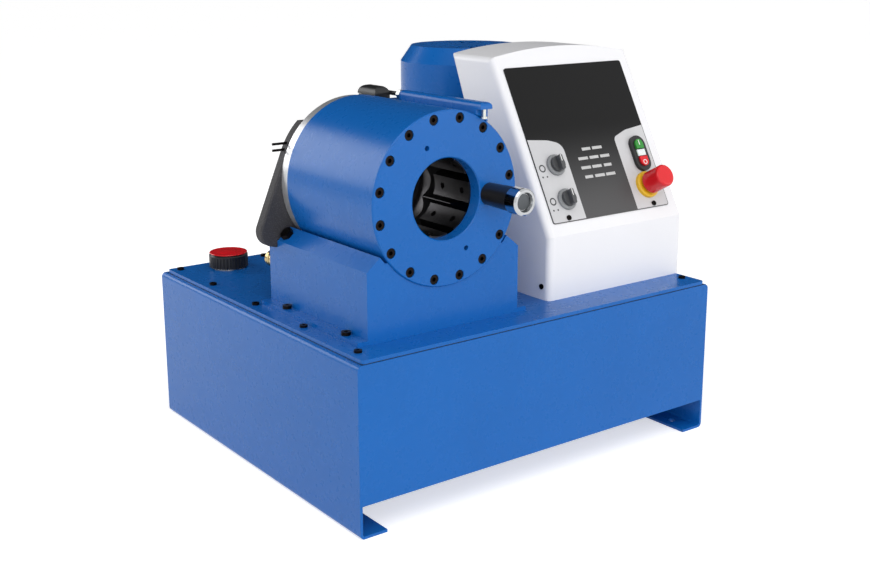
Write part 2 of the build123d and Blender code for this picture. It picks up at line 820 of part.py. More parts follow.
def rear_flange():
    """The closing flange: spigot into the housing, bore for the guide tube, seal groove."""
    bore = piston_tube_outer_radius + running_gap
    front, seat, back = -housing_back + flange_spigot_length, -housing_back, -flange_back
    middle = (front + seat) / 2
    profile = [(bore, back), (flange_radius, back), (flange_radius, seat), (head_bore_radius - seat_gap, seat),
               (head_bore_radius - seat_gap, front), (bore, front), (bore, middle + rod_seal_width),
               (bore + rod_seal_depth, middle + rod_seal_width), (bore + rod_seal_depth, middle), (bore, middle)]
    body = turned(profile)
    holes = [Pos(*polar(ring_bolt_circle, a), 0) * (rod(ring_bolt_radius + hole_gap, back - 1, seat + 1)
             + rod(ring_bolt_head_radius + hole_gap, back - 1, back + ring_counterbore_depth))
             for a in flange_bolt_angles()]
    taps = [Pos(*polar(rear_screw_circle, a), 0) * rod(rear_screw_radius + hole_gap, back - 1, back + 12)
            for a in rear_screw_angles()]
    return facing_front(cut_all(body, holes + taps), head_x, 0, head_z)


def rod_seal():
    middle = -housing_back + flange_spigot_length / 2
    inner = piston_tube_outer_radius + seal_lip_gap
    outer = piston_tube_outer_radius + running_gap + rod_seal_depth - seal_side_gap
    ring = tube(outer, inner, middle + seal_side_gap, middle + rod_seal_width - seal_side_gap)
    return facing_front(ring, head_x, 0, head_z)


def head_bolts():
    """The same socket screws hold the ring in front and the flange behind."""
    bolt = socket_screw(ring_bolt_radius, ring_bolt_length, ring_bolt_head_radius, ring_bolt_head_height)
    front = [facing_front(Pos(*polar(ring_bolt_circle, a), -ring_counterbore_depth) * bolt, head_x, ring_front, head_z)
             for a in ring_bolt_angles()]
    back = [facing_back(Pos(*polar(ring_bolt_circle, a), -ring_counterbore_depth) * bolt, head_x, flange_back, head_z)
            for a in flange_bolt_angles()]
    return front + back


def rear_screw_angles():
    return [45 + n * 360 / rear_screw_count for n in range(rear_screw_count)]


def rear_plate():
    """A thick plate: flat on top, flaring down to two ears that hook over the cradle's sides."""
    ear, drop, small, thick = rear_plate_ear_x, rear_plate_ear_drop, rear_plate_ear_radius, rear_plate_thickness
    circles = [CenterArc((0, 0), rear_plate_radius, 0, 360)]
    circles += [CenterArc((side * ear, -drop), small, 0, 360) for side in (-1, 1)]
    face = make_face(make_hull(circles).face().outer_wire())
    face -= Pos(0, rear_plate_flat + rear_plate_radius / 2) * Rectangle(2 * ear, rear_plate_radius)
    plate = extrude(face, thick)
    rims = [edge for group in (0, -1) for edge in plate.faces().sort_by(Axis.Z)[group].edges()]
    plate = fillet(rims, rear_plate_round)
    step = cradle_width / 2 + seat_gap
    plate -= block(-step, step, -rear_plate_radius - 1, cradle_top - head_z, -1, thick + 1)
    plate -= rod(rear_plate_hole_radius, -1, thick + 1)
    holes = [Pos(*polar(rear_screw_circle, a), 0) * rod(rear_screw_radius + hole_gap, -1, thick + 1)
             for a in rear_screw_angles()]
    placed = facing_front(cut_all(plate, holes), head_x, rear_plate_back, head_z)
    return cut_all(placed, [edge_pin(z, hole_gap) for z in edge_pin_heights])


def rear_screws():
    screw = socket_screw(rear_screw_radius, rear_screw_length, rear_screw_head_radius, rear_screw_head_height)
    return [facing_back(Pos(*polar(rear_screw_circle, a), 0) * screw, head_x, rear_plate_back, head_z)
            for a in rear_screw_angles()]


def edge_pin(rise, gap=0.0):
    """A pin in the rear plate's left edge, pointing left."""
    edge = sqrt(rear_plate_radius**2 - rise**2)
    length = edge_pin_tip - edge + edge_pin_embed
    pin = Rot(0, 90, 0) * Cylinder(edge_pin_radius + gap, length)
    return Pos(head_x - edge_pin_tip + length / 2, (flange_back + rear_plate_back) / 2, head_z + rise) * pin


def edge_pins():
    return [edge_pin(rise) for rise in edge_pin_heights]


# ---------------------------------------------------------------- stop rail on the head
def head_barrel(radius):
    """The head's own cylinder, used to seat pieces on top of it."""
    return facing_front(rod(radius, -rear_plate_back - 1, -ring_front), head_x, 0, head_z)


def stop_rail():
    left, right = rail_x - rail_width / 2, rail_x + rail_width / 2
    rail = block(left, right, rail_front, rail_back, head_z, rail_top)
    top_edges = rail.faces().sort_by(Axis.Z)[-1].edges()
    rail = fillet(top_edges.filter_by(Axis.Y) + [top_edges.filter_by(Axis.X).sort_by(Axis.Y)[0]], rail_round)
    rail += block(left, right, rail_back - 1, switch_front - running_gap, head_z, rail_bar_top)
    rail -= head_barrel(head_radius + seat_gap)
    rail -= block(left - 1, right + 1, rail_front - 1, ring_front, head_z - 1, rail_bottom_in_front)
    rail -= Pos(head_x, 0, 0) * block(0, rail_x + rail_width - head_x, ring_front - 1, switch_front + 1,
                                      head_z - 1, head_z + head_radius / 2)
    rail -= facing_back(rod(rod_radius + hole_gap, -rod_embed - 1, 1), rod_x, rail_back, rod_z)
    return rail - Pos(rail_x, rail_front + rail_screw_inset, rail_bottom_in_front) * rod(
        rail_screw_radius + hole_gap, -1, rail_screw_embed + 1)


def stop_nut():
    nut = extrude(RegularPolygon(nut_across / 2, 6, major_radius=False), nut_thickness)
    return facing_back(nut - rod(rod_radius + shaft_gap, -1, nut_thickness + 1), rod_x, rail_back, rod_z)


def limit_switch():
    """The switch box at the back of the head, with its rod running into the rail."""
    left, right = switch_x - switch_width / 2, switch_x + switch_width / 2
    body = block(left, right, switch_front, switch_back, head_z, switch_top)
    body = fillet(body.faces().sort_by(Axis.Z)[-1].edges(), switch_round)
    body -= head_barrel(head_radius + seat_gap)
    return body + facing_back(rod(rod_radius, -rod_embed, switch_front - rail_back + 5), rod_x, rail_back, rod_z)


def rail_screw():
    screw = rod(rail_screw_radius, -rail_screw_drop, rail_screw_embed)
    screw += rod(rail_screw_head, -rail_screw_drop - rail_screw_head_height, -rail_screw_drop)
    return Pos(rail_x, rail_front + rail_screw_inset, rail_bottom_in_front) * screw


# ---------------------------------------------------------------- knob on the front ring
def knob_stem():
    """A stem that flares outward from the ring, with a pin on which the knob turns."""
    end = knob_stem_length
    stem = turned([(0, -knob_spigot_length + 1), (knob_spigot_radius, -knob_spigot_length + 1),
                   (knob_spigot_radius, 0), (knob_stem_root_radius, 0), (knob_stem_end_radius, end),
                   (knob_pin_radius, end), (knob_pin_radius, end + knob_pin_length), (0, end + knob_pin_length)])
    return facing_front(stem, head_x + knob_reach, ring_front, head_z + knob_rise)


def ring_knob():
    base, bevel, bore = knob_stem_length + running_gap, knob_bevel, knob_pin_radius + shaft_gap
    top, floor = base + knob_length, base + knob_length - knob_recess_depth
    pin_top = knob_stem_length + knob_pin_length + running_gap
    knob = turned([(bore, base), (knob_radius - bevel, base), (knob_radius, base + bevel),
                   (knob_radius, top - bevel), (knob_radius - bevel, top), (knob_recess_radius, top),
                   (knob_recess_radius - bevel, floor), (0, floor), (0, pin_top), (bore, pin_top)])
    return facing_front(knob, head_x + knob_reach, ring_front, head_z + knob_rise)


# ---------------------------------------------------------------- motor and pump
def motor_bolt_angles():
    return [45 + n * 360 / motor_bolt_count for n in range(motor_bolt_count)]


def motor_flange():
    """The drive end shield: pilot into the lid, flange, and the bearing seat of the shaft."""
    bore, top = shaft_radius + shaft_gap, lid_top + motor_flange_thickness
    shield = turned([(bore, lid_top - pilot_depth), (pilot_radius, lid_top - pilot_depth),
                     (pilot_radius, lid_top), (motor_flange_radius, lid_top), (motor_flange_radius, top),
                     (motor_body_radius, top), (motor_body_radius, motor_body_bottom), (bore, motor_body_bottom)])
    holes = [Pos(*polar(motor_bolt_circle, a), 0) * rod(hex_bolt_radius + hole_gap, lid_top - 1, top + 1)
             for a in motor_bolt_angles()]
    return at_motor(cut_all(shield, holes))


def motor_housing():
    """A finned tube, closed at the top by a shield whose ears carry the fan cowl."""
    low, high, top = motor_body_bottom, motor_body_top, motor_body_top + shield_thickness
    reach = cowl_radius - cowl_wall - hole_gap
    body = rod(motor_body_radius, low, top)
    fin = block(0, fin_radius, -fin_thickness / 2, fin_thickness / 2, low + fin_end_inset, high - fin_end_inset)
    for n in range(fin_count):
        body += Rot(0, 0, n * 360 / fin_count) * fin
    ear = block(0, reach + 2, -shield_ear_width / 2, shield_ear_width / 2, high, top)
    for angle in cowl_screw_angles():
        body += Rot(0, 0, angle) * ear
    body = body & rod(reach, low - 1, top + 1)
    body -= rod(motor_bore_radius, low - 1, high)
    body -= rod(shaft_radius + shaft_gap, high - 1, top + 1)
    return at_motor(cut_all(body, cowl_screw_holes()))


def cowl_screw_angles():
    return [45 + n * 360 / cowl_screw_count for n in range(cowl_screw_count)]


def cowl_screw_holes():
    hole = Rot(0, 90, 0) * rod(small_screw_radius + hole_gap, cowl_radius - small_screw_length - 1, cowl_radius + 1)
    height = motor_body_top + shield_thickness / 2
    return [Rot(0, 0, angle) * Pos(0, 0, height) * hole for angle in cowl_screw_angles()]


def motor_shaft():
    """The shaft with the rotor pack shrunk on it."""
    middle = (motor_body_bottom + motor_body_top) / 2
    half = rotor_length / 2
    return at_motor(rod(shaft_radius, shaft_bottom, shaft_top) + rod(rotor_radius, middle - half, middle + half))


def cooling_fan():
    base = motor_body_top + shield_thickness + fan_lift
    fan = rod(fan_hub_radius, base, base + fan_height) + rod(fan_radius, base, base + fan_disc_thickness)
    blade = block(0, fan_radius, -fan_blade_thickness / 2, fan_blade_thickness / 2, base, base + fan_height)
    for n in range(fan_blades):
        fan += Rot(0, 0, n * 360 / fan_blades) * blade
    return at_motor(fan - rod(shaft_radius, base - 1, base + fan_height + 1))


def fan_cowl():
    """A spun cowl with a bevelled shoulder and radial air slots in its top."""
    wall, inner = cowl_wall, cowl_radius - cowl_wall
    cowl = turned([(inner, cowl_bottom), (cowl_radius, cowl_bottom), (cowl_radius, cowl_shoulder),
                   (cowl_disc_radius, cowl_top), (0, cowl_top), (0, cowl_top - wall),
                   (cowl_disc_radius - wall / 2, cowl_top - wall), (inner, cowl_shoulder - wall / 2)])
    slot = block(cowl_slot_inner, cowl_slot_outer, -cowl_slot_width / 2, cowl_slot_width / 2,
                 cowl_top - 2 * wall, cowl_top + wall)
    slots = [Rot(0, 0, n * 360 / cowl_slot_count) * slot for n in range(cowl_slot_count)]
    return at_motor(cut_all(cowl, slots + cowl_screw_holes()))


def terminal_box():
    half = terminal_width / 2
    box = block(motor_x - half, motor_x + half, motor_y, terminal_back, terminal_bottom,
                terminal_bottom + terminal_height)
    box = fillet(box.edges().filter_by(Axis.Y), terminal_round)
    return box - at_motor(rod(fin_radius + hole_gap, terminal_bottom - 1, terminal_bottom + terminal_height + 1))


def pump_body():
    """A bell under the lid, and the pump below it; the shaft's end hangs in the bell."""
    top, shoulder = lid_top - pilot_depth, pump_top
    return at_motor(turned([(bell_wall, top), (bell_radius, top), (bell_radius, shoulder), (pump_radius, shoulder - 8),
                            (pump_radius, shoulder - pump_height), (0, shoulder - pump_height),
                            (0, shoulder), (bell_wall, shoulder)]))


def suction_strainer():
    """A slotted basket screwed to the bottom of the pump."""
    top = pump_top - pump_height
    low = top - strainer_height
    basket = rod(strainer_radius, low, top) - rod(strainer_radius - strainer_wall, low + strainer_wall, top - strainer_wall)
    slot = block(0, strainer_radius + 1, -strainer_slot_width / 2, strainer_slot_width / 2,
                 low + 2 * strainer_wall, top - 2 * strainer_wall)
    return at_motor(cut_all(basket, [Rot(0, 0, n * 360 / strainer_slots) * slot for n in range(strainer_slots)]))


# ---------------------------------------------------------------- console
def console_outline():
    return [(console_front, lid_top), (console_front, console_knee), (console_top_front_y, console_top),
            (console_top_back_y, console_top), (console_back_y, console_back_knee), (console_back_y, lid_top)]


def console_shell():
    """A sheet shell: sloped face, crowned top, rounded sides, open below and at the back."""
    outline = console_outline()
    rise = [(y + console_crown * panel_run / panel_rise, z + console_crown) if z == console_top else (y, z)
            for y, z in outline]
    body = prism_x(rise, console_left, console_right)
    half = (console_right - console_left) / 2
    crown_radius = (half**2 + console_crown**2) / (2 * console_crown)
    crown = Pos(console_middle, 0, console_top + console_crown - crown_radius) * Rot(90, 0, 0) * Cylinder(
        crown_radius, 4 * half)
    body = body & crown
    sides = [body.faces().sort_by(Axis.X)[n] for n in (0, -1)]
    rims = [edge for side in sides for edge in side.edges() if edge.center().Z > lid_top + 1]
    body = fillet(rims, console_corner)
    inside = offset(outline_face(outline), -console_wall, kind=Kind.INTERSECTION)
    hollow = extrude(Plane(origin=(console_left + console_wall, 0, 0), x_dir=(0, 1, 0), z_dir=(1, 0, 0)) * inside,
                     console_right - console_left - 2 * console_wall)
    hollow = fillet(hollow.faces().filter_by(Axis.X).edges(), console_corner - console_wall)
    body -= hollow
    body -= block(console_left + console_wall, console_right - console_wall, console_front + console_wall,
                  console_back_y - console_wall, lid_top - 1, lid_top + frame_height + 1)
    body -= cover_window(-1)
    return cut_all(body, panel_cuts() + side_screw_holes() + cover_screw_holes())


def side_screw_places():
    """Places of the side screws: (which side, x, y, z)."""
    ys = (console_front + side_screw_inset, console_back_y - side_screw_inset)
    return [(side, x, y, lid_top + side_screw_height)
            for side, x in ((-1, console_left), (1, console_right)) for y in ys]


def side_screw_holes():
    reach = console_wall + frame_wall + 2
    return [Pos(x, y, z) * Rot(0, 90, 0) * Cylinder(small_screw_radius + hole_gap, 2 * reach)
            for side, x, y, z in side_screw_places()]


def console_frame():
    """A low frame on the lid, to which the shell is screwed."""
    gap = console_wall + running_gap
    x0, x1, y0, y1 = console_left + gap, console_right - gap, console_front + gap, console_back_y - gap
    ring = block(x0, x1, y0, y1, lid_top, lid_top + frame_height)
    ring -= block(x0 + frame_wall, x1 - frame_wall, y0 + frame_wall, y1 - frame_wall, lid_top - 1,
                  lid_top + frame_height + 1)
    return cut_all(ring, side_screw_holes())


def cover_window(lap):
    """The block cut from, or laid over, the back opening: lap widens it on every side."""
    x0, x1 = console_left + cover_opening_inset - lap, console_right - cover_opening_inset + lap
    z0, z1 = lid_top + cover_bottom - lap, console_back_knee - cover_top_drop + lap
    if lap < 0:
        return block(x0, x1, console_back_y - 2 * console_wall, console_back_y + 1, z0, z1)
    return block(x0, x1, console_back_y, console_back_y + cover_thickness, z0, z1)


def cover_screw_places():
    inset = cover_opening_inset - cover_lap + cover_screw_inset
    xs = (console_left + inset, console_right - inset)
    zs = (lid_top + cover_bottom - cover_lap + cover_screw_inset,
          console_back_knee - cover_top_drop + cover_lap - cover_screw_inset)
    return [(x, z) for x in xs for z in zs]


def cover_screw_holes():
    """Holes through the cover and the shell's back wall."""
    reach = console_wall + cover_thickness
    return [facing_back(rod(small_screw_radius + hole_gap, -2 * reach, 2 * reach), x, console_back_y, z)
            for x, z in cover_screw_places()]


def console_back_cover():
    cover = cover_window(cover_lap)
    gland = facing_back(rod(gland_bore_radius * 1.6 + hole_gap, -1, cover_thickness + 1), gland_x, console_back_y,
                        lid_top + gland_height)
    return cut_all(cover, cover_screw_holes() + [gland])


def cable_gland():
    """A domed cable gland with its thread through the cover."""
    seat, thread = cover_thickness, gland_bore_radius * 1.6
    body = turned([(gland_bore_radius, -gland_thread_length), (thread, -gland_thread_length), (thread, seat),
                   (gland_radius, seat), (gland_radius, gland_length * 0.6), (thread, gland_length),
                   (gland_bore_radius, gland_length)])
    return facing_back(body, gland_x, console_back_y, lid_top + gland_height)


# ---------------------------------------------------------------- control panel
def panel_cuts(gap=0.3):
    """Clearance holes for the controls and screws, through the shell and the panel."""
    through = panel_thickness + console_wall + 1
    cuts = [on_panel(rod(barrel_radius + gap, -through, through), x, s) for x, s in control_places()]
    slot = extrude(inner_slot(gap), 2 * through)
    cuts.append(on_panel(Pos(0, 0, -through) * slot, button_x, button_s))
    return cuts + [on_panel(rod(small_screw_radius + hole_gap, -through - 4, through), x, panel_screw_s)
                   for x in panel_screw_xs()]


def control_places():
    return [(selector_x, s) for s in selector_s_places] + [(estop_x, estop_s)]


def panel_screw_xs():
    return (panel_left + panel_screw_inset, panel_right - panel_screw_inset)


def inner_slot(gap=0.0):
    """The long rounded outline that both push-buttons share."""
    length, width = surround_length - 2 * surround_rim, surround_width - 2 * surround_rim
    return Rot(0, 0, 90) * SlotOverall(length + 2 * gap, width + 2 * gap)


def control_panel():
    length, width = panel_top - panel_bottom, panel_right - panel_left
    face = Pos((panel_left + panel_right) / 2, panel_middle_s) * RectangleRounded(width, length, panel_corner)
    return cut_all(on_panel(extrude(face, panel_thickness), 0, 0), panel_cuts())


def on_overlay(shape, x, s):
    """Place a shape on the control panel's own surface."""
    return on_panel(Pos(0, 0, panel_thickness) * shape, x, s)


def selector_bezels():
    """Two bezels, each with its barrel through the panel and a bore for the dial."""
    bezel = turned([(0, -barrel_length), (barrel_radius, -barrel_length), (barrel_radius, 0), (bezel_radius, 0),
                    (bezel_radius, bezel_height - 1.5), (bezel_radius - 1.5, bezel_height),
                    (dial_spigot_radius + shaft_gap, bezel_height),
                    (dial_spigot_radius + shaft_gap, bezel_height - dial_spigot_length - running_gap),
                    (0, bezel_height - dial_spigot_length - running_gap)])
    return [on_overlay(bezel, selector_x, s) for s in selector_s_places]


def selector_dial(s):
    """A round dial with a raised grip bar and a spigot in the bezel."""
    base = bezel_height + running_gap
    dial = rod(dial_radius, base, base + dial_height) + rod(dial_spigot_radius, bezel_height - dial_spigot_length, base)
    bar = Pos(0, 0, base + dial_height) * RectangleRounded(dial_grip_width, 2 * dial_radius - 1, dial_grip_width / 2.5)
    return on_overlay(dial + extrude(bar, dial_grip_height), selector_x, s)


def pocket_face(low, high, gap):
    """The part of the shared long outline between two places along it."""
    width = surround_width
    band = Pos(0, (low + high) / 2) * Rectangle(width, high - low + 2 * gap)
    rim = inner_slot(gap - button_end_rim)
    return rim & band


def button_span(side):
    low = lens_half_length + lens_wall
    high = surround_length / 2 - surround_rim - button_end_rim
    return (low, high) if side > 0 else (-high, -low)


def button_surround():
    """The surround and its back box, with a pocket for each push-button and the lamp lens."""
    outer = Rot(0, 0, 90) * SlotOverall(surround_length, surround_width)
    body = extrude(outer, surround_height) + Pos(0, 0, -surround_depth) * extrude(inner_slot(), surround_depth)
    for side in (-1, 1):
        pocket = extrude(pocket_face(*button_span(side), running_gap), surround_height + pocket_depth + 1)
        body -= Pos(0, 0, -pocket_depth) * pocket
    lens = extrude(pocket_face(-lens_half_length, lens_half_length, hole_gap), lens_embed + 1)
    return on_overlay(body - Pos(0, 0, surround_height - lens_embed) * lens, button_x, button_s)


def push_button(side):
    face = pocket_face(*button_span(side), 0)
    top = surround_height + button_height
    button = Pos(0, 0, top - button_length) * extrude(face, button_length)
    return on_overlay(button, button_x, button_s)


def lamp_lens():
    face = pocket_face(-lens_half_length, lens_half_length, 0)
    lens = Pos(0, 0, surround_height - lens_embed) * extrude(face, lens_embed + lens_height)
    return on_overlay(lens, button_x, button_s)


def estop_collar():
    bore, floor = collar_bore_radius + running_gap, collar_height - collar_bore_depth
    collar = turned([(0, -barrel_length), (barrel_radius, -barrel_length), (barrel_radius, 0), (collar_radius, 0),
                     (collar_radius, collar_height - 2), (collar_radius - 2, collar_height), (bore, collar_height),
                     (bore, floor - estop_travel), (0, floor - estop_travel)])
    return on_overlay(collar, estop_x, estop_s)


def estop_cap():
    base, top, r = estop_lift, estop_lift + estop_height, estop_radius
    cap = rod(r, base, top) + rod(collar_bore_radius, collar_height - collar_bore_depth + running_gap, base)
    cap = fillet(cap.faces().sort_by(Axis.Z)[-1].edges(), estop_round)
    return on_overlay(cap, estop_x, estop_s)


# ---------------------------------------------------------------- shared fasteners
def hex_bolts():
    """The same bolts hold the motor's flange and stand in the cradle's folds."""
    bolt = hex_screw(hex_bolt_radius, hex_bolt_length, hex_bolt_across, hex_bolt_head_height)
    flange_top = lid_top + motor_flange_thickness
    motor = [at_motor(Pos(*polar(motor_bolt_circle, a), flange_top) * bolt) for a in motor_bolt_angles()]
    return motor + [on_fold(bolt, side) for side in (-1, 1)]


def small_screws():
    """The same small screws hold the console's shell, back cover and panel, and the fan cowl."""
    screw = socket_screw(small_screw_radius, small_screw_length, small_screw_head_radius, small_screw_head_height)
    sides = [Pos(x, y, z) * Rot(0, side * 90, 0) * screw for side, x, y, z in side_screw_places()]
    cover = [facing_back(Pos(0, 0, cover_thickness) * screw, x, console_back_y, z) for x, z in cover_screw_places()]
    panel = [on_overlay(screw, x, panel_screw_s) for x in panel_screw_xs()]
    radial = Pos(cowl_radius, 0, motor_body_top + shield_thickness / 2) * Rot(0, 90, 0) * screw
    return sides + cover + panel + [at_motor(Rot(0, 0, angle) * radial) for angle in cowl_screw_angles()]


# ---------------------------------------------------------------- all nodes
nodes = [
    tank_shell, lid_gasket, tank_lid, lid_screws, drain_plug, level_gauge, filler_neck, filler_cap,
    cradle, cradle_screws, brass_coupling, pressure_tubes, head_housing, front_ring, head_bolts,
    piston, piston_seal, rear_flange, rod_seal, rear_plate, rear_screws, edge_pins,
    stop_rail, stop_nut, limit_switch, rail_screw, knob_stem, ring_knob,
    motor_flange, motor_housing, motor_shaft, cooling_fan, fan_cowl, terminal_box, pump_body,
    suction_strainer, console_shell, console_frame, console_back_cover, cable_gland, control_panel,
    selector_bezels, button_surround, lamp_lens, estop_collar, estop_cap, hex_bolts, small_screws,
]

for make in nodes:
    write(make.__name__, make())
for number, shape in enumerate(round_head(jaw(), jaw_count), start=1):
    write(f"jaw_{number}", shape)
write("selector_dial_low", selector_dial(selector_s_places[0]))
write("selector_dial_high", selector_dial(selector_s_places[1]))
write("start_button", push_button(1))
write("stop_button", push_button(-1))
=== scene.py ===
"""Paint, printed panel, controls and stage of a hydraulic hose crimping machine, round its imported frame.

Run as a script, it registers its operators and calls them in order.
Lengths are metres, unless a name ends in _mm.
"""
from math import cos, radians, sin, tau

import bmesh
import bpy
from bpy.props import FloatProperty, FloatVectorProperty, IntProperty, PointerProperty
from mathutils import Matrix, Vector


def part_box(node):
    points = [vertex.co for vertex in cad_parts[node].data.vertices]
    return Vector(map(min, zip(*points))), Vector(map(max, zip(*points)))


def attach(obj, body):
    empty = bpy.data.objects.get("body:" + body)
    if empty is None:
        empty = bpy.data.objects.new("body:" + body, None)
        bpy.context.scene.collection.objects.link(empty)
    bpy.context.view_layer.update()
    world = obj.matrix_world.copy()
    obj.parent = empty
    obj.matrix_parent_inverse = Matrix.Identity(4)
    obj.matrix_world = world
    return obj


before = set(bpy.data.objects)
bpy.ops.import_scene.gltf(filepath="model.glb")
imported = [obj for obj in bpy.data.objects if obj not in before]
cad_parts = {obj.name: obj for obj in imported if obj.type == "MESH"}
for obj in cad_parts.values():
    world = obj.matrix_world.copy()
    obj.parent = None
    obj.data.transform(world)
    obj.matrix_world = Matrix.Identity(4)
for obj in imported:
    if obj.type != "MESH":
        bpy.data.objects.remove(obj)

bl_info = {
    "name": "Hose Crimping Machine",
    "version": (1, 0, 0),
    "blender": (4, 5, 0),
    "location": "View3D > Sidebar > Crimper",
    "description": "Finishes, printed panel, controls and stage of a hose crimping machine",
    "category": "Object",
}

MM = 0.001

# The colour sockets of a Mix node, the float sockets of a Random Value node, and the radians
# that a Wave texture runs through in a metre at a scale of 1.
MIX_FIRST, MIX_SECOND, MIX_RESULT = 6, 7, 2
RANDOM_MIN, RANDOM_MAX = 2, 3
WAVE_RADIANS = 20

# Places on the console's panel: x across the machine, s up the slope from the knee.
SELECTOR_X = 0.099
SELECTOR_S = {"low": 0.053, "high": 0.107}
BUTTON_X = 0.274
START_S, STOP_S = 0.1232, 0.0908
FIELD_FOOT = 0.0202
FIELD_CORNER = 3 * MM
LEFT_FIELD_EDGE, RIGHT_FIELD_EDGE = 0.126, 0.234

# The film's fade ends at this share of its height; a printed word is at least this share of the longest.
FADE_SHARE = 0.62
SHORTEST_WORD = 0.72

# Square lamps: place, the point each faces, width, and share of the lamps' strength.
# The rim lamp's share is a setting of the stage.
LAMPS = {
    "key_lamp": ((-1.1, -3.2, 0.9), (0, 0, 0.3), 2.2, 0.75),
    "side_lamp": ((-3.0, -0.9, 1.2), (0.0, -0.1, 0.45), 1.6, 0.22),
    "fill_lamp": ((2.0, -2.8, 0.7), (0, 0, 0.3), 2.0, 0.7),
    "top_lamp": ((-0.9, -1.6, 2.2), (0.05, -0.1, 0.3), 1.4, 0.42),
    "rim_lamp": ((-1.32, 2.1, 1.25), (-0.2, -0.1, 0.45), 1.4, None),
}
FLOOR_REACH, FLOOR_DEPTH = 30.0, 0.02

# The sky darkens with its direction's y plus this share of its z, from the first value to the second.
SKY_RISE = 0.5
DARK_FROM, DARK_TO = 0.15, 0.8

# Outlines in x and z of the block under the limit switch, and of the web beside the cradle's front plate.
SWITCH_FOOT = [(-0.1235, 0.5072), (-0.1005, 0.5072), (-0.1005, 0.5302), (-0.1120, 0.5345), (-0.1235, 0.5380)]
SWITCH_FOOT_FRONT, SWITCH_FOOT_BACK = -0.0095, 0.0075
CRADLE_WEB = [(-0.2583, 0.3400), (-0.2366, 0.3400), (-0.2403, 0.3442), (-0.2439, 0.3484), (-0.2483, 0.3484)]
CRADLE_WEB_DEPTH = 12 * MM

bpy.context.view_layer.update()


# ---------------------------------------------------------------- colours and nodes
def linear(code):
    """An sRGB hex colour as linear RGB."""
    parts = [int(code[i:i + 2], 16) / 255 for i in (1, 3, 5)]
    return [p / 12.92 if p <= 0.04045 else ((p + 0.055) / 1.055) ** 2.4 for p in parts]


def opaque(colour):
    """A linear RGB colour with full alpha."""
    return (*colour[:3], 1.0)


def shade(colour, factor):
    """The same colour, lighter or darker."""
    return opaque([min(1.0, c * factor) for c in colour[:3]])


def per_metre(size_mm):
    """The scale of a pattern whose grains are this wide."""
    return 1000.0 / size_mm


def add_node(tree, kind, settings=None, links=None):
    """Adds a node, sets its properties and inputs, and links its inputs to (node, output)."""
    node = tree.nodes.new(kind)
    for key, value in (settings or {}).items():
        if isinstance(key, str) and hasattr(node, key):
            setattr(node, key, value)
        else:
            node.inputs[key].default_value = value
    for key, (source, output) in (links or {}).items():
        tree.links.new(source.outputs[output], node.inputs[key])
    return node


def new_surface(name, **inputs):
    """A material with one Principled shader: (material, tree, shader, place on the object)."""
    material = bpy.data.materials.new(name)
    material.use_nodes = True
    tree = material.node_tree
    tree.nodes.clear()
    shader = add_node(tree, "ShaderNodeBsdfPrincipled", {k.replace("_", " "): v for k, v in inputs.items()})
    add_node(tree, "ShaderNodeOutputMaterial", None, {"Surface": (shader, "BSDF")})
    place = add_node(tree, "ShaderNodeTexCoord")
    return material, tree, shader, (place, "Object")


def noise(tree, place, width_mm, detail=2.0):
    """Soft noise whose grains are this wide."""
    node = add_node(tree, "ShaderNodeTexNoise", {"Scale": per_metre(width_mm), "Detail": detail},
                    {"Vector": place})
    return node, "Fac"


def ramp(tree, source, low, high, **settings):
    """A value that runs from low to high with its source."""
    node = add_node(tree, "ShaderNodeMapRange", {"To Min": low, "To Max": high, **settings},
                    {"Value": source})
    return node, "Result"


def blend(tree, source, first, second):
    """A colour that runs from the first to the second with its source."""
    node = add_node(tree, "ShaderNodeMix", {"data_type": "RGBA", MIX_FIRST: first, MIX_SECOND: second},
                    {0: source})
    return node, MIX_RESULT


def tones(tree, source, colour, dark, pale):
    """A colour that grows darker and paler with its source, by these factors."""
    return blend(tree, source, shade(colour, dark), shade(colour, pale))


def relief(tree, source, strength, depth_mm):
    """Bumps of this depth that follow their source."""
    node = add_node(tree, "ShaderNodeBump", {"Strength": strength, "Distance": depth_mm * MM},
                    {"Height": source})
    return node, "Normal"


def finish(surface, colour, roughness, bumps):
    """Links colour, roughness and bumps to the surface's shader, and gives its material."""
    material, tree, shader, _ = surface
    for socket, (node, output) in (("Base Color", colour), ("Roughness", roughness), ("Normal", bumps)):
        tree.links.new(node.outputs[output], shader.inputs[socket])
    return material


# ---------------------------------------------------------------- finishes
def powder_coat(name, colour, peel_mm=2.2, peel_depth_mm=0.02, gloss=(0.30, 0.42), cloud=0.06, specular=0.5):
    """Oven-cured polyester powder: even colour, soft gloss and a fine orange peel.

    The peel of the real one is about 1 mm; it is drawn coarser so that it shows."""
    surface = new_surface(name, Specular_IOR_Level=specular, IOR=1.5)
    _, tree, _, place = surface
    return finish(
        surface,
        tones(tree, noise(tree, place, width_mm=90, detail=3.0), colour, dark=1 - cloud, pale=1 + cloud),
        ramp(tree, noise(tree, place, width_mm=14, detail=4.0), *gloss),
        relief(tree, noise(tree, place, width_mm=peel_mm), strength=0.35, depth_mm=peel_depth_mm))


def textured_powder_coat(name, colour, grit_mm=1.6):
    """Wrinkled powder paint: matte and gritty, with a painted highlight that makes the tops of its grit pale.
    """
    surface = new_surface(name, Specular_IOR_Level=0.4, IOR=1.5)
    _, tree, _, place = surface
    grit = add_node(tree, "ShaderNodeTexVoronoi", {"Scale": per_metre(grit_mm)}, {"Vector": place})
    tops = ramp(tree, (grit, "Distance"), 1.0, 0.0, **{"From Min": 0.0, "From Max": 0.35})
    return finish(
        surface,
        # painted highlight: the coat's colour is drawn up to 2.6 times paler on the tops of the grit
        tones(tree, tops, colour, dark=0.75, pale=2.6),
        ramp(tree, tops, 0.68, 0.5),
        relief(tree, tops, strength=0.6, depth_mm=0.15))


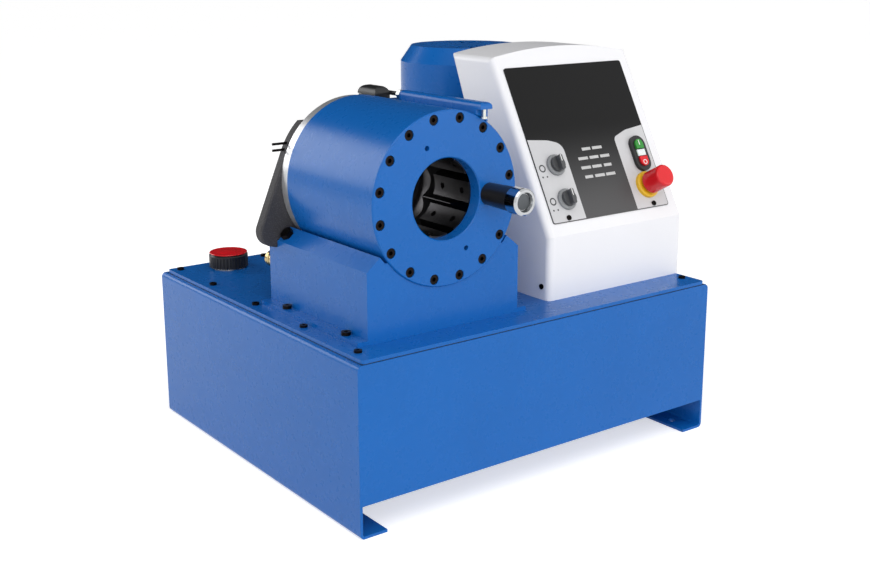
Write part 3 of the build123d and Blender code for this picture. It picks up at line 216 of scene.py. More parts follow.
def moulded_plastic(name, colour, spark_mm=0.9, gloss=(0.32, 0.45), depth_mm=0.03, **inputs):
    """Injection-moulded ABS or nylon: even colour with the fine spark texture of its mould."""
    surface = new_surface(name, IOR=1.46, **inputs)
    _, tree, _, place = surface
    spark = noise(tree, place, width_mm=spark_mm)
    return finish(
        surface,
        tones(tree, noise(tree, place, width_mm=22), colour, dark=0.93, pale=1.07),
        ramp(tree, spark, *gloss),
        relief(tree, spark, strength=0.3, depth_mm=depth_mm))


def turned_metal(name, colour, centre, axis="Y", pitch_mm=7.54, gloss=(0.2, 0.34), metallic=1.0):
    """Lathe-turned metal: fine rings about its axis that catch the light.

    The real feed marks are about 0.2 mm apart; they are drawn much wider so that they show."""
    surface = new_surface(name, Metallic=metallic)
    _, tree, _, place = surface
    about = add_node(tree, "ShaderNodeMapping", {"Location": [-c for c in centre]}, {"Vector": place})
    wave = add_node(tree, "ShaderNodeTexWave", {
        "wave_type": "RINGS", "rings_direction": axis, "Scale": tau * per_metre(pitch_mm) / WAVE_RADIANS,
        "Distortion": 0.4, "Detail": 2.0}, {"Vector": (about, 0)})
    rings = (wave, "Fac")
    return finish(
        surface,
        tones(tree, noise(tree, place, width_mm=30, detail=3.0), colour, dark=0.88, pale=1.05),
        ramp(tree, rings, *gloss),
        relief(tree, rings, strength=0.25, depth_mm=0.02))


def treated_steel(name, colour, grain_mm=1.5, gloss=(0.34, 0.52), blotch=0.25, metallic=1.0):
    """Steel with a thin surface layer, such as oxide, phosphate or zinc: a blotchy sheen and fine grain."""
    surface = new_surface(name, Metallic=metallic)
    _, tree, _, place = surface
    grain = noise(tree, place, width_mm=grain_mm, detail=3.0)
    return finish(
        surface,
        tones(tree, noise(tree, place, width_mm=9, detail=4.0), colour, dark=1 - blotch, pale=1 + blotch),
        ramp(tree, grain, *gloss),
        relief(tree, grain, strength=0.3, depth_mm=0.03))


def cast_metal(name, colour, grain_mm=2.5, metallic=1.0):
    """Sand or die casting: a pebbled skin with a dull sheen."""
    surface = new_surface(name, Metallic=metallic)
    _, tree, _, place = surface
    skin = noise(tree, place, width_mm=grain_mm, detail=5.0)
    return finish(
        surface,
        tones(tree, skin, colour, dark=0.8, pale=1.1),
        ramp(tree, skin, 0.45, 0.6),
        relief(tree, skin, strength=0.5, depth_mm=0.15))


def printed_film(name, top, bottom, low_z, high_z):
    """Matte polyester film, printed from behind with a fade from dark at the top to grey at the bottom."""
    surface = new_surface(name, IOR=1.5, Specular_IOR_Level=0.18)
    _, tree, _, place = surface
    parts = add_node(tree, "ShaderNodeSeparateXYZ", None, {0: place})
    height = ramp(tree, (parts, "Z"), 0.0, 1.0, **{
        "From Min": low_z, "From Max": high_z, "interpolation_type": "SMOOTHSTEP"})
    grain = noise(tree, place, width_mm=1.2)
    return finish(
        surface,
        blend(tree, height, opaque(bottom), opaque(top)),
        ramp(tree, grain, 0.38, 0.5),
        relief(tree, grain, strength=0.2, depth_mm=0.02))


def floor_surface(name, colour, lift):
    """A pale painted floor that stays white to the eye, and still takes the machine's shadow."""
    material, tree, shader, _ = new_surface(name, Roughness=0.9, Specular_IOR_Level=0.1)
    shader.inputs["Base Color"].default_value = opaque(colour)
    path = add_node(tree, "ShaderNodeLightPath")
    seen = add_node(tree, "ShaderNodeMath", {"operation": "MAXIMUM"},
                    {0: (path, "Is Camera Ray"), 1: (path, "Is Glossy Ray")})
    seen = add_node(tree, "ShaderNodeMath", {"operation": "MAXIMUM"},
                    {0: (seen, 0), 1: (path, "Is Transmission Ray")})
    strength = add_node(tree, "ShaderNodeMath", {"operation": "MULTIPLY", 1: lift}, {0: (seen, 0)})
    glow = add_node(tree, "ShaderNodeEmission", None, {"Strength": (strength, 0)})
    both = add_node(tree, "ShaderNodeAddShader", None, {0: (shader, 0), 1: (glow, 0)})
    output = next(n for n in tree.nodes if n.type == "OUTPUT_MATERIAL")
    tree.links.new(both.outputs[0], output.inputs["Surface"])
    return material


# ---------------------------------------------------------------- settings
class BodyworkSettings(bpy.types.PropertyGroup):
    """Colours of the painted steel."""
    blue: FloatVectorProperty(name="Machine blue", description="Powder coat of tank, cradle and head",
                              subtype="COLOR", default=linear("#0E60AF"))
    dark: FloatVectorProperty(name="Rear plate", description="Textured coat of the plate behind the head",
                              subtype="COLOR", default=linear("#3E3D40"))
    grey: FloatVectorProperty(name="Motor grey", description="Coat of the motor's housing and flange",
                              subtype="COLOR", default=linear("#6E747A"))
    white: FloatVectorProperty(name="Console white", description="Powder coat of the console",
                               subtype="COLOR", default=linear("#EAEAED"))
    peel: FloatProperty(name="Orange peel", description="Width of the paint's waves, in millimetres",
                        default=2.2, min=0.5, max=10.0)


class MetalSettings(bpy.types.PropertyGroup):
    """Colours of the bare and treated metals."""
    oxide: FloatVectorProperty(name="Black oxide", description="Socket screws", subtype="COLOR",
                               default=linear("#1F1B1A"))
    tool: FloatVectorProperty(name="Tool steel", description="Jaws, piston and motor shaft", subtype="COLOR",
                              default=linear("#4A494B"))
    bright: FloatVectorProperty(name="Bright steel", description="Turned flange ring and fittings",
                                subtype="COLOR", default=linear("#D9DADC"))
    zinc: FloatVectorProperty(name="Zinc plating", description="Hexagon bolts and pressure tubes",
                              subtype="COLOR", default=linear("#C4C6C2"))
    chrome: FloatVectorProperty(name="Chrome", description="Knob on the front ring", subtype="COLOR",
                                default=linear("#BDBFC1"))
    brass: FloatVectorProperty(name="Brass", description="Hydraulic coupling", subtype="COLOR",
                               default=linear("#B09C70"))
    cast: FloatVectorProperty(name="Cast aluminium", description="Pump body", subtype="COLOR",
                              default=linear("#A9ABAD"))


class PanelSettings(bpy.types.PropertyGroup):
    """The printed panel on the console's slope: x across, s up the slope from the knee."""
    tilt: FloatProperty(name="Tilt", description="Slope's lean back from upright", unit="ROTATION",
                        default=radians(28.82))
    knee: FloatProperty(name="Knee height", description="Height at which the slope starts", unit="LENGTH",
                        default=0.338)
    night: FloatVectorProperty(name="Film top", description="Print colour at the top", subtype="COLOR",
                               default=linear("#0C0C0D"))
    dusk: FloatVectorProperty(name="Film bottom", description="Print colour at the bottom", subtype="COLOR",
                              default=linear("#545455"))
    field: FloatVectorProperty(name="Pale fields", description="Grey fields under the controls",
                               subtype="COLOR", default=linear("#C6C6C8"))
    legend: FloatVectorProperty(name="Legend", description="Rows of pale print", subtype="COLOR",
                                default=linear("#BDBDBD"))
    ink: FloatProperty(name="Ink height", description="How far the print stands off the film", unit="LENGTH",
                       default=0.12 * MM)
    rows: IntProperty(name="Legend rows", description="Rows of print below the title row", default=3,
                      min=1, max=8)


class ControlSettings(bpy.types.PropertyGroup):
    """Colours and marks of the controls."""
    red: FloatVectorProperty(name="Red", description="Emergency stop, stop button and filler cap",
                             subtype="COLOR", default=linear("#DA1520"))
    green: FloatVectorProperty(name="Green", description="Start button", subtype="COLOR",
                               default=linear("#2F8D33"))
    yellow: FloatVectorProperty(name="Yellow", description="Collar of the emergency stop", subtype="COLOR",
                                default=linear("#E0B01E"))
    black: FloatVectorProperty(name="Black", description="Knobs, cap and switch", subtype="COLOR",
                               default=linear("#1C1C1E"))
    dial: FloatVectorProperty(name="Dials", description="Turning knobs of the selectors", subtype="COLOR",
                              default=linear("#4A4B4D"))
    grey: FloatVectorProperty(name="Bezel grey", description="Rings round the selectors", subtype="COLOR",
                              default=linear("#8E9092"))
    mark: FloatVectorProperty(name="Marks", description="Bar, ring and pointers on the controls",
                              subtype="COLOR", default=linear("#E4E4E2"))
    ridges: IntProperty(name="Bezel ridges", description="Grip ridges round each selector's ring", default=36,
                        min=8, max=96)


class StageSettings(bpy.types.PropertyGroup):
    """Camera, lamps and floor."""
    azimuth: FloatProperty(name="Azimuth", description="Camera's turn round the machine", unit="ROTATION",
                           default=radians(-37.15))
    elevation: FloatProperty(name="Elevation", description="Camera's height angle", unit="ROTATION",
                             default=radians(13.77))
    distance: FloatProperty(name="Distance", description="Camera to its target", unit="LENGTH", default=1.957)
    target: FloatVectorProperty(name="Target", description="Point the camera looks at", subtype="TRANSLATION",
                                default=(0.0405, 0.001, 0.2768))
    lens: FloatProperty(name="Lens", description="Focal length", unit="CAMERA", default=50.61)
    shift: FloatVectorProperty(name="Shift", description="Lens shift, as a share of the picture's width",
                               size=2, default=(-0.01724, -0.04598))
    lamp: FloatProperty(name="Lamps", description="What each lamp's share is taken of, in watts", default=22.5,
                        min=0.0)
    rim: FloatProperty(name="Rim lamp", description="Share of the lamp behind", default=1.05, min=0.0)
    sky: FloatProperty(name="Sky", description="Strength of the surrounding light", default=1.0, min=0.0)
    flag: FloatProperty(name="Dark flag", description="Share of the sky's light left behind the machine",
                        default=0.03, min=0.0, max=1.0)
    lift: FloatProperty(name="Floor lift", description="Glow of the floor to the camera and in reflections",
                        default=0.53, min=0.0, max=1.0)
    floor: FloatVectorProperty(name="Floor", description="Colour of the floor", subtype="COLOR",
                               default=linear("#EDEDED"))


SETTINGS = {
    "crimper_bodywork": BodyworkSettings, "crimper_metal": MetalSettings, "crimper_panel": PanelSettings,
    "crimper_controls": ControlSettings, "crimper_stage": StageSettings,
}


# ---------------------------------------------------------------- shaping
def dress(material, *nodes):
    """Gives CAD nodes their finish."""
    for name in nodes:
        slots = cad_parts[name].data.materials
        slots.clear()
        slots.append(material)


def middle_of(node):
    """The middle of a CAD node's box."""
    low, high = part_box(node)
    return (low + high) / 2


def piece(name, mesh, material, body):
    """Links a mesh as a piece that rides on a body."""
    mesh.name = name
    if not mesh.materials:
        mesh.materials.append(material)
    shape = bpy.data.objects.new(name, mesh)
    bpy.context.scene.collection.objects.link(shape)
    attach(shape, body)
    return shape


def mesh_of(build, name="part"):
    """A mesh from a function that fills a bmesh; its normals point outwards."""
    bm = bmesh.new()
    build(bm)
    bmesh.ops.remove_doubles(bm, verts=bm.verts, dist=1e-7)
    bmesh.ops.recalc_face_normals(bm, faces=bm.faces)
    mesh = bpy.data.meshes.new(name)
    bm.to_mesh(mesh)
    bm.free()
    return mesh


def rounded(corners, steps=8):
    """An outline from corners (x, y, radius), each rounded by its radius."""
    points, count = [], len(corners)
    for i, (x, y, radius) in enumerate(corners):
        here = Vector((x, y))
        if radius <= 0:
            points.append(here)
            continue
        before, after = Vector(corners[i - 1][:2]) - here, Vector(corners[(i + 1) % count][:2]) - here
        half = before.angle(after) / 2
        reach = radius / abs(sin(half) / cos(half))
        middle = here + (before.normalized() + after.normalized()).normalized() * radius / sin(half)
        start, end = here + before.normalized() * reach - middle, here + after.normalized() * reach - middle
        turn = start.angle_signed(end)
        for n in range(steps + 1):
            a = -turn * n / steps
            points.append(middle + Matrix.Rotation(a, 2) @ start)
    return points


def slab(bm, outline, low, high):
    """A plate with this outline, from low to high."""
    rings = [[bm.verts.new((x, y, z)) for x, y in outline] for z in (low, high)]
    bm.faces.new(rings[0][::-1])
    bm.faces.new(rings[1])
    for i in range(len(outline)):
        j = (i + 1) % len(outline)
        bm.faces.new((rings[0][i], rings[0][j], rings[1][j], rings[1][i]))


def dot(x, y, radius, steps=12):
    """The outline of a round dot."""
    return [(x + radius * cos(tau * n / steps), y + radius * sin(tau * n / steps)) for n in range(steps)]


def slab_ring(bm, x, y, inner, outer, low, high, steps=32):
    """A flat ring about (x, y), from low to high."""
    rings = [[bm.verts.new((*point, z)) for point in dot(x, y, radius, steps)]
             for radius, z in ((inner, low), (outer, low), (outer, high), (inner, high))]
    for a, b in zip(rings, rings[1:] + rings[:1]):
        for n in range(steps):
            m = (n + 1) % steps
            bm.faces.new((a[n], a[m], b[m], b[n]))


def bar(x, y, width, length):
    """The outline of an upright bar about (x, y)."""
    return [(x - width / 2, y - length / 2), (x + width / 2, y - length / 2),
            (x + width / 2, y + length / 2), (x - width / 2, y + length / 2)]


def revolve(bm, profile, steps=64):
    """A turned shape from (radius, z) points about Z; a point with radius 0 closes it."""
    rings = []
    for radius, z in profile:
        if radius == 0:
            rings.append([bm.verts.new((0, 0, z))])
        else:
            rings.append([bm.verts.new((radius * cos(tau * n / steps), radius * sin(tau * n / steps), z))
                          for n in range(steps)])
    for a, b in zip(rings, rings[1:]):
        for n in range(steps):
            m = (n + 1) % steps
            corners = [a[n % len(a)], a[m % len(a)], b[m % len(b)], b[n % len(b)]]
            bm.faces.new(list(dict.fromkeys(corners)))


def upright_slab(outline, front, back):
    """A plate with this (x, z) outline, from front to back."""
    mesh = mesh_of(lambda bm: slab(bm, outline, -back, -front))
    mesh.transform(Matrix.Rotation(radians(90), 4, "X"))
    return mesh


def smooth(shape, angle=radians(35)):
    """Shades a piece smooth, but for its sharp edges."""
    shape.data.shade_smooth()
    shape.data.set_sharp_from_angle(angle=angle)
    return shape


def panel_frame(settings, lift=0.0):
    """The matrix from the panel's own (x, s, h) to the machine, with h = 0 at the film's face."""
    tilt = settings.tilt
    normal, slope = Vector((0, -cos(tilt), sin(tilt))), Vector((0, sin(tilt), cos(tilt)))
    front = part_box("console_shell")[0].y
    knee = Vector((0, front, settings.knee))
    face = max(v.co.dot(normal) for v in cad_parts["control_panel"].data.vertices)
    start = knee + normal * (face - knee.dot(normal) + lift)
    across = Vector((1, 0, 0))
    return Matrix((
        (across.x, slope.x, normal.x, start.x), (across.y, slope.y, normal.y, start.y),
        (across.z, slope.z, normal.z, start.z), (0, 0, 0, 1)))


def stand_off(settings, node):
    """How far a CAD node stands off the film."""
    tilt = settings.tilt
    normal = Vector((0, -cos(tilt), sin(tilt)))
    reach, film = (max(v.co.dot(normal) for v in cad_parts[name].data.vertices)
                   for name in (node, "control_panel"))
    return reach - film


def on_panel(mesh, settings, lift=0.0):
    """Lays a mesh drawn in the panel's own frame onto the film."""
    mesh.transform(panel_frame(settings, lift))
    return mesh


# ---------------------------------------------------------------- repeats
def repeat_tree(name, inputs):
    """A geometry node tree with these named inputs: (tree, group input, sockets by name)."""
    tree = bpy.data.node_groups.new(name, "GeometryNodeTree")
    sockets = {}
    for label, (kind, value) in inputs.items():
        socket = tree.interface.new_socket(label, in_out="INPUT", socket_type=kind)
        if value is not None:
            socket.default_value = value
        sockets[label] = socket
    tree.interface.new_socket("Geometry", in_out="OUTPUT", socket_type="NodeSocketGeometry")
    return tree, add_node(tree, "NodeGroupInput"), sockets


def close_tree(tree, source, group):
    """Ends a tree: real geometry, with its material."""
    real = add_node(tree, "GeometryNodeRealizeInstances", None, {0: source})
    painted = add_node(tree, "GeometryNodeSetMaterial", None,
                       {"Geometry": (real, 0), "Material": (group, "Material")})
    add_node(tree, "NodeGroupOutput", None, {0: (painted, 0)})


def grown(tree, sockets, values, name):
    """The plain mesh that a tree makes with these values."""
    holder = bpy.data.objects.new(name + "_maker", bpy.data.meshes.new(name))
    bpy.context.scene.collection.objects.link(holder)
    modifier = holder.modifiers.new("Repeat", "NODES")
    modifier.node_group = tree
    for label, value in values.items():
        modifier[sockets[label].identifier] = value
    bpy.context.view_layer.update()
    evaluated = holder.evaluated_get(bpy.context.evaluated_depsgraph_get())
    mesh = bpy.data.meshes.new_from_object(evaluated)
    holder.modifiers.remove(modifier)
    bpy.data.objects.remove(holder)
    return mesh


def legend_tree():
    """Rows of short printed dashes of random length, one row below the other."""
    tree, group, sockets = repeat_tree("legend_rows", {
        "Rows": ("NodeSocketInt", 4), "Row Pitch": ("NodeSocketFloat", 0.014), "Words": ("NodeSocketInt", 3),
        "Word Pitch": ("NodeSocketFloat", 0.02), "Shift": ("NodeSocketFloat", 0.004),
        "Stroke": ("NodeSocketVector", (0.016, 0.0035, 0.0002)), "Seed": ("NodeSocketInt", 3),
        "Material": ("NodeSocketMaterial", None)})
    step = add_node(tree, "ShaderNodeCombineXYZ", None, {"X": (group, "Shift")})
    down = add_node(tree, "ShaderNodeMath", {"operation": "MULTIPLY", 1: -1.0}, {0: (group, "Row Pitch")})
    tree.links.new(down.outputs[0], step.inputs["Y"])
    rows = add_node(tree, "GeometryNodeMeshLine", None, {"Count": (group, "Rows"), "Offset": (step, 0)})
    along = add_node(tree, "ShaderNodeCombineXYZ", None, {"X": (group, "Word Pitch")})
    words = add_node(tree, "GeometryNodeMeshLine", None, {"Count": (group, "Words"), "Offset": (along, 0)})
    row_words = add_node(tree, "GeometryNodeInstanceOnPoints", None,
                         {"Points": (rows, 0), "Instance": (words, 0)})
    points = add_node(tree, "GeometryNodeRealizeInstances", None, {0: (row_words, 0)})
    dash = add_node(tree, "GeometryNodeMeshCube", None, {"Size": (group, "Stroke")})
    length = add_node(tree, "FunctionNodeRandomValue", {
        "data_type": "FLOAT", RANDOM_MIN: SHORTEST_WORD, RANDOM_MAX: 1.0}, {"Seed": (group, "Seed")})
    size = add_node(tree, "ShaderNodeCombineXYZ", {"Y": 1.0, "Z": 1.0}, {"X": (length, 1)})
    dashes = add_node(tree, "GeometryNodeInstanceOnPoints", None,
                      {"Points": (points, 0), "Instance": (dash, 0), "Scale": (size, 0)})
    close_tree(tree, (dashes, 0), group)
    return tree, sockets


def ridge_tree():
    """Upright ridges round a circle, as on a grip ring."""
    tree, group, sockets = repeat_tree("grip_ridges", {
        "Count": ("NodeSocketInt", 36), "Radius": ("NodeSocketFloat", 0.016),
        "Ridge Radius": ("NodeSocketFloat", 0.0006),
        "Height": ("NodeSocketFloat", 0.004), "Material": ("NodeSocketMaterial", None)})
    ring = add_node(tree, "GeometryNodeMeshCircle", None,
                    {"Vertices": (group, "Count"), "Radius": (group, "Radius")})
    ridge = add_node(tree, "GeometryNodeMeshCylinder", {"Vertices": 8},
                     {"Radius": (group, "Ridge Radius"), "Depth": (group, "Height")})
    ridges = add_node(tree, "GeometryNodeInstanceOnPoints", None,
                      {"Points": (ring, 0), "Instance": (ridge, 0)})
    close_tree(tree, (ridges, 0), group)
    return tree, sockets


# ---------------------------------------------------------------- operators
class PaintBodywork(bpy.types.Operator):
    """Powder coats the tank, cradle, head, motor and console"""
    bl_idname = "crimper.paint_bodywork"
    bl_label = "Paint Bodywork"

    def execute(self, context):
        s = context.scene.crimper_bodywork
        blue = powder_coat("blue_powder_coat", s.blue, peel_mm=s.peel, gloss=(0.24, 0.32), specular=0.25)
        dress(blue, "tank_shell", "tank_lid", "cradle", "head_housing", "front_ring", "stop_rail", "fan_cowl")
        white = powder_coat("white_powder_coat", s.white, peel_mm=s.peel, cloud=0.015)
        dress(white, "console_shell", "console_back_cover")
        grey = powder_coat("grey_enamel", s.grey, peel_mm=3.0, peel_depth_mm=0.1, gloss=(0.4, 0.55))
        dress(grey, "motor_flange", "motor_housing", "terminal_box")
        dress(textured_powder_coat("textured_dark_coat", s.dark), "rear_plate")
        return {"FINISHED"}


class FinishMetal(bpy.types.Operator):
    """Gives the screws, jaws, flange, knob, coupling and pump their metal"""
    bl_idname = "crimper.finish_metal"
    bl_label = "Finish Metal"

    def execute(self, context):
        s = context.scene.crimper_metal
        oxide = treated_steel("black_oxide_steel", s.oxide, gloss=(0.3, 0.5))
        dress(oxide, "lid_screws", "cradle_screws", "head_bolts", "hex_bolts", "rear_screws", "edge_pins",
              "small_screws")
        tool = treated_steel("oiled_tool_steel", s.tool, gloss=(0.28, 0.45), blotch=0.3)
        dress(tool, "piston", "motor_shaft", *(f"jaw_{n}" for n in range(1, 9)))
        bright = turned_metal("turned_steel", s.bright, middle_of("rear_flange"), metallic=0.7)
        dress(bright, "rear_flange", "filler_neck", "suction_strainer")
        zinc = treated_steel("zinc_plated_steel", s.zinc, gloss=(0.22, 0.4), blotch=0.12)
        dress(zinc, "pressure_tubes", "drain_plug", "stop_nut", "rail_screw", "console_frame")
        chrome = turned_metal("polished_chrome", s.chrome, middle_of("ring_knob"), pitch_mm=5.03,
                              gloss=(0.06, 0.14))
        dress(chrome, "ring_knob")
        brass = turned_metal("turned_brass", s.brass, middle_of("brass_coupling"), pitch_mm=3.77)
        dress(brass, "brass_coupling")
        dress(cast_metal("cast_aluminium", s.cast), "pump_body")
        return {"FINISHED"}


class FinishControls(bpy.types.Operator):
    """Gives the knobs, buttons, seals and small mouldings their plastic or rubber"""
    bl_idname = "crimper.finish_controls"
    bl_label = "Finish Controls"

    def execute(self, context):
        s = context.scene.crimper_controls
        p = context.scene.crimper_panel
        black = moulded_plastic("black_nylon", s.black)
        dress(black, "filler_cap", "limit_switch", "cooling_fan", "cable_gland", "button_surround")
        dress(moulded_plastic("dark_dial_nylon", s.dial), "selector_dial_low", "selector_dial_high")
        dress(moulded_plastic("grey_bezel_plastic", s.grey), "selector_bezels")
        dress(moulded_plastic("dark_anodised_stem", s.black, gloss=(0.25, 0.35)), "knob_stem")
        red = moulded_plastic("glossy_red_abs", s.red, gloss=(0.16, 0.26))
        dress(red, "estop_cap", "stop_button")
        dress(moulded_plastic("glossy_green_abs", s.green, gloss=(0.16, 0.26)), "start_button")
        dress(moulded_plastic("yellow_abs", s.yellow), "estop_collar")
        lens = moulded_plastic("milky_lens", linear("#EFEFEC"), gloss=(0.15, 0.2), Subsurface_Weight=0.2)
        dress(lens, "lamp_lens")
        sight = moulded_plastic("oil_sight_glass", linear("#C9B26A"), gloss=(0.06, 0.1),
                                Transmission_Weight=0.35)
        dress(sight, "level_gauge")
        rubber = moulded_plastic("nitrile_rubber", linear("#161616"), gloss=(0.6, 0.75))
        dress(rubber, "lid_gasket", "piston_seal", "rod_seal")
        low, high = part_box("control_panel")
        fade_end = low.z + (high.z - low.z) * FADE_SHARE
        dress(printed_film("printed_film", p.night, p.dusk, low.z, fade_end), "control_panel")
        return {"FINISHED"}


class PrintPanel(bpy.types.Operator):
    """Prints the pale fields, the legend rows and the ring marks on the panel's film"""
    bl_idname = "crimper.print_panel"
    bl_label = "Print Panel"

    def execute(self, context):
        s = context.scene.crimper_panel
        pale = moulded_plastic("pale_screen_ink", s.field, gloss=(0.35, 0.5))
        left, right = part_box("control_panel")[0].x + MM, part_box("control_panel")[1].x - MM
        fields = {
            "left_field": [
                (left, FIELD_FOOT, FIELD_CORNER), (LEFT_FIELD_EDGE, FIELD_FOOT, 0),
                (LEFT_FIELD_EDGE, 0.139, 17 * MM), (0.100, 0.147, 40 * MM), (left, 0.151, 0)],
            "right_field": [
                (RIGHT_FIELD_EDGE, FIELD_FOOT, 0), (right, FIELD_FOOT, FIELD_CORNER), (right, 0.154, 0),
                (0.262, 0.149, 40 * MM), (RIGHT_FIELD_EDGE, 0.139, 9 * MM)],
        }
        for name, corners in fields.items():
            mesh = mesh_of(lambda bm: slab(bm, rounded(corners), 0, s.ink))
            piece(name, on_panel(mesh, s), pale, "machine")
        tree, sockets = legend_tree()
        legend = moulded_plastic("legend_ink", s.legend, gloss=(0.4, 0.5))
        stroke = (20 * MM, 4.6 * MM, 2 * s.ink)
        for name, rows, words, x, top, seed in (("legend_title", 1, 2, 0.170, 0.1265, 5),
                                                ("legend_rows", s.rows, 3, 0.158, 0.112, 3)):
            mesh = grown(tree, sockets, {
                "Rows": rows, "Words": words, "Word Pitch": 22.5 * MM, "Row Pitch": 14.8 * MM, "Shift": 0.0,
                "Stroke": stroke, "Seed": seed, "Material": legend}, name)
            mesh.transform(Matrix.Translation((x, top, 0)))
            piece(name, on_panel(mesh, s), legend, "machine")
        mark = moulded_plastic("dark_screen_ink", linear("#3A3A3C"), gloss=(0.4, 0.5))

        thick = 1.6 * s.ink

        def marks(bm):
            for place in (0.0528, 0.1048):
                slab_ring(bm, 0.073, place, 4.0 * MM, 6.0 * MM, 0, thick)
                for x in (0.069, 0.0775):
                    slab(bm, dot(x, place - 13.5 * MM, 1.5 * MM), 0, thick)
        piece("ring_marks", on_panel(mesh_of(marks), s), mark, "machine")
        return {"FINISHED"}


class MarkControls(bpy.types.Operator):
    """Prints the bar and ring on the push-buttons, and a pointer on each selector"""
    bl_idname = "crimper.mark_controls"
    bl_label = "Mark Controls"

    def execute(self, context):
        c, p = context.scene.crimper_controls, context.scene.crimper_panel
        white = moulded_plastic("white_pad_ink", c.mark, gloss=(0.35, 0.45))

        def mark(name, node, body, build):
            piece(name, on_panel(mesh_of(build), p, stand_off(p, node)), white, body)

        upright = bar(BUTTON_X, START_S, 1.6 * MM, 8 * MM)
        mark("start_bar", "start_button", "start", lambda bm: slab(bm, upright, 0, p.ink))
        mark("stop_ring", "stop_button", "stop",
             lambda bm: slab_ring(bm, BUTTON_X, STOP_S, 2.7 * MM, 4.0 * MM, 0, p.ink))
        for name, place in SELECTOR_S.items():
            pointer = bar(SELECTOR_X, place + 6 * MM, 1.4 * MM, 10 * MM)
            mark("pointer_" + name, "selector_dial_" + name, "selector_" + name,
                 lambda bm: slab(bm, pointer, 0, p.ink))
        return {"FINISHED"}


class RidgeBezels(bpy.types.Operator):
    """Cuts grip ridges round the rings of the two selectors"""
    bl_idname = "crimper.ridge_bezels"
    bl_label = "Ridge Bezels"

    def execute(self, context):
        c, p = context.scene.crimper_controls, context.scene.crimper_panel
        tree, sockets = ridge_tree()
        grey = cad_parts["selector_bezels"].data.materials[0]
        whole = bmesh.new()
        for place in SELECTOR_S.values():
            mesh = grown(tree, sockets, {"Count": c.ridges, "Radius": 15.8 * MM, "Material": grey},
                         "bezel_ridges")
            mesh.transform(Matrix.Translation((SELECTOR_X, place, 2.3 * MM)))
            whole.from_mesh(mesh)
            bpy.data.meshes.remove(mesh)
        mesh = bpy.data.meshes.new("bezel_ridges")
        whole.to_mesh(mesh)
        whole.free()
        piece("bezel_ridges", on_panel(mesh, p), grey, "machine")
        return {"FINISHED"}


class FitSmallParts(bpy.types.Operator):
    """Fits the foot under the limit switch, the cradle's corner welds and the knob's inlay"""
    bl_idname = "crimper.fit_small_parts"
    bl_label = "Fit Small Parts"

    def execute(self, context):
        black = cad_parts["limit_switch"].data.materials[0]
        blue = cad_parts["cradle"].data.materials[0]
        foot = upright_slab(SWITCH_FOOT, SWITCH_FOOT_FRONT, SWITCH_FOOT_BACK)
        piece("switch_foot", foot, black, "machine")
        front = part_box("cradle")[0].y
        mirror = 2 * middle_of("head_housing").x
        across = [(mirror - x, z) for x, z in CRADLE_WEB]
        for name, outline in (("web_left", CRADLE_WEB), ("web_right", across)):
            web = upright_slab(outline, front, front + CRADLE_WEB_DEPTH)
            piece(name, web, blue, "machine")
        middle = middle_of("ring_knob")
        inlay = turned_metal("dull_inlay", linear("#55585B"), middle, pitch_mm=5.65, gloss=(0.3, 0.42))
        profile_mm = ((0, 0), (11, 0), (11, 0.6), (8.5, 1.2), (4, 0.8), (0, 1.4))
        mesh = mesh_of(lambda bm: revolve(bm, [(radius * MM, rise * MM) for radius, rise in profile_mm]))
        mesh.transform(Matrix.Translation((middle.x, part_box("ring_knob")[0].y + 5 * MM, middle.z))
                       @ Matrix.Rotation(radians(90), 4, "X"))
        smooth(piece("knob_inlay", mesh, inlay, "knob"))
        return {"FINISHED"}


class SetCapTop(bpy.types.Operator):
    """Sets the red disc into the top of the filler cap"""
    bl_idname = "crimper.set_cap_top"
    bl_label = "Set Cap Top"

    def execute(self, context):
        low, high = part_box("filler_cap")
        middle = (low + high) / 2
        radius = (high.x - low.x) / 2
        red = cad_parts["estop_cap"].data.materials[0]
        # how far in from the cap's edge, and how far above its top
        steps_mm = ((1.6, -0.2), (0.6, 0.5), (1.2, 1.4), (4, 2.0), (6, 1.3), (12, 1.1), (14, 1.6))
        edge = [(radius - inset * MM, rise * MM) for inset, rise in steps_mm]
        profile = [(0, -0.2 * MM), *edge, (0, 2.2 * MM)]
        mesh = mesh_of(lambda bm: revolve(bm, profile))
        mesh.transform(Matrix.Translation((middle.x, middle.y, high.z)))
        smooth(piece("filler_cap_top", mesh, red, "filler"))
        return {"FINISHED"}


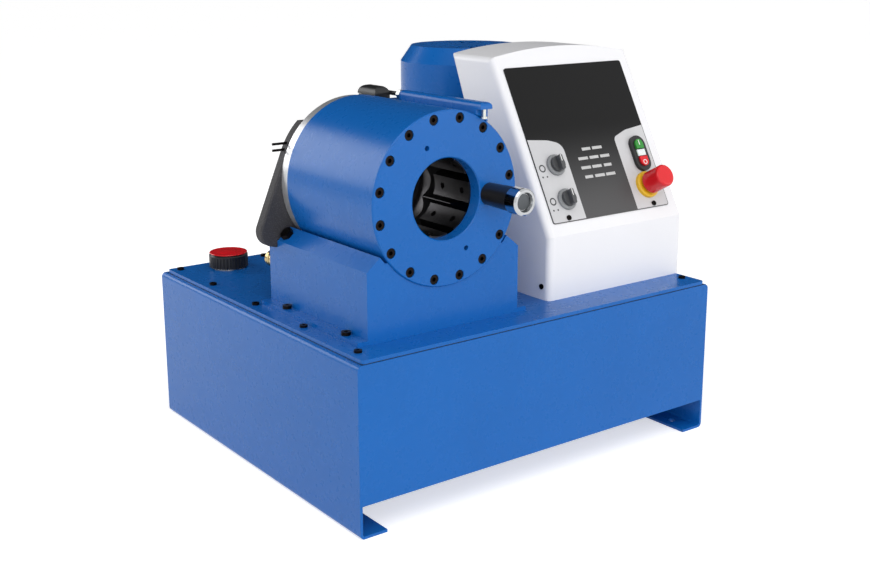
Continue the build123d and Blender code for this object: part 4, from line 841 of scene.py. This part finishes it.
class BuildStage(bpy.types.Operator):
    """Sets up the floor, the soft studio light and the camera"""
    bl_idname = "crimper.build_stage"
    bl_label = "Build Stage"

    def execute(self, context):
        s = context.scene.crimper_stage
        scene = context.scene
        square = bar(0, 0, 2 * FLOOR_REACH, 2 * FLOOR_REACH)
        floor = bpy.data.objects.new("floor", mesh_of(lambda bm: slab(bm, square, -FLOOR_DEPTH, 0)))
        floor.data.materials.append(floor_surface("white_floor", s.floor, s.lift))
        scene.collection.objects.link(floor)

        world = bpy.data.worlds.new("studio")
        world.use_nodes = True
        tree = world.node_tree
        tree.nodes.clear()
        way = add_node(tree, "ShaderNodeTexCoord")
        parts = add_node(tree, "ShaderNodeSeparateXYZ", None, {0: (way, "Generated")})
        rise = add_node(tree, "ShaderNodeMath", {"operation": "MULTIPLY", 1: SKY_RISE}, {0: (parts, "Z")})
        away = add_node(tree, "ShaderNodeMath", {"operation": "ADD"}, {0: (parts, "Y"), 1: (rise, 0)})
        strength = ramp(tree, (away, 0), s.sky, s.sky * s.flag, **{
            "interpolation_type": "SMOOTHSTEP", "From Min": DARK_FROM, "From Max": DARK_TO})
        path = add_node(tree, "ShaderNodeLightPath")
        shown = add_node(tree, "ShaderNodeMath", {"operation": "MAXIMUM"},
                         {0: strength, 1: (path, "Is Camera Ray")})
        light = add_node(tree, "ShaderNodeBackground", {"Color": (1, 1, 1, 1)}, {"Strength": (shown, 0)})
        add_node(tree, "ShaderNodeOutputWorld", None, {"Surface": (light, 0)})
        scene.world = world

        for name, (place, aim, size, share) in LAMPS.items():
            lamp = bpy.data.lights.new(name, "AREA")
            lamp.shape, lamp.size, lamp.energy = "SQUARE", size, s.lamp * (s.rim if share is None else share)
            holder = bpy.data.objects.new(name, lamp)
            holder.location = place
            holder.rotation_euler = (Vector(aim) - Vector(place)).to_track_quat("-Z", "Y").to_euler()
            scene.collection.objects.link(holder)

        level = cos(s.elevation)
        back = Vector((sin(s.azimuth) * level, -cos(s.azimuth) * level, sin(s.elevation)))
        lens = bpy.data.cameras.new("camera")
        lens.lens, lens.sensor_width, lens.sensor_fit = s.lens, 36.0, "HORIZONTAL"
        lens.shift_x, lens.shift_y = s.shift
        lens.clip_start, lens.clip_end = 0.05, 100.0
        camera = bpy.data.objects.new("camera", lens)
        camera.location = Vector(s.target) + back * s.distance
        camera.rotation_euler = (-back).to_track_quat("-Z", "Y").to_euler()
        scene.collection.objects.link(camera)
        scene.camera = camera
        scene.view_settings.view_transform = "Standard"
        return {"FINISHED"}


OPERATORS = (
    PaintBodywork, FinishMetal, FinishControls, PrintPanel, MarkControls, RidgeBezels, FitSmallParts, SetCapTop,
    BuildStage,
)


class CrimperPanel(bpy.types.Panel):
    """Lists the machine's steps and their settings"""
    bl_idname = "VIEW3D_PT_crimper"
    bl_label = "Hose Crimping Machine"
    bl_space_type = "VIEW_3D"
    bl_region_type = "UI"
    bl_category = "Crimper"

    def draw(self, context):
        for step in OPERATORS:
            self.layout.operator(step.bl_idname)
        for name, group in SETTINGS.items():
            box = self.layout.box()
            for key in group.__annotations__:
                box.prop(getattr(context.scene, name), key)


def register():
    for group in SETTINGS.values():
        bpy.utils.register_class(group)
    for step in OPERATORS:
        bpy.utils.register_class(step)
    bpy.utils.register_class(CrimperPanel)
    for name, group in SETTINGS.items():
        setattr(bpy.types.Scene, name, PointerProperty(type=group))


def unregister():
    for name in SETTINGS:
        delattr(bpy.types.Scene, name)
    for kind in (CrimperPanel, *reversed(OPERATORS), *reversed(SETTINGS.values())):
        bpy.utils.unregister_class(kind)


def main():
    """Makes the whole scene."""
    register()
    for step in OPERATORS:
        area, name = step.bl_idname.split(".")
        getattr(getattr(bpy.ops, area), name)()


if __name__ == "__main__":
    main()
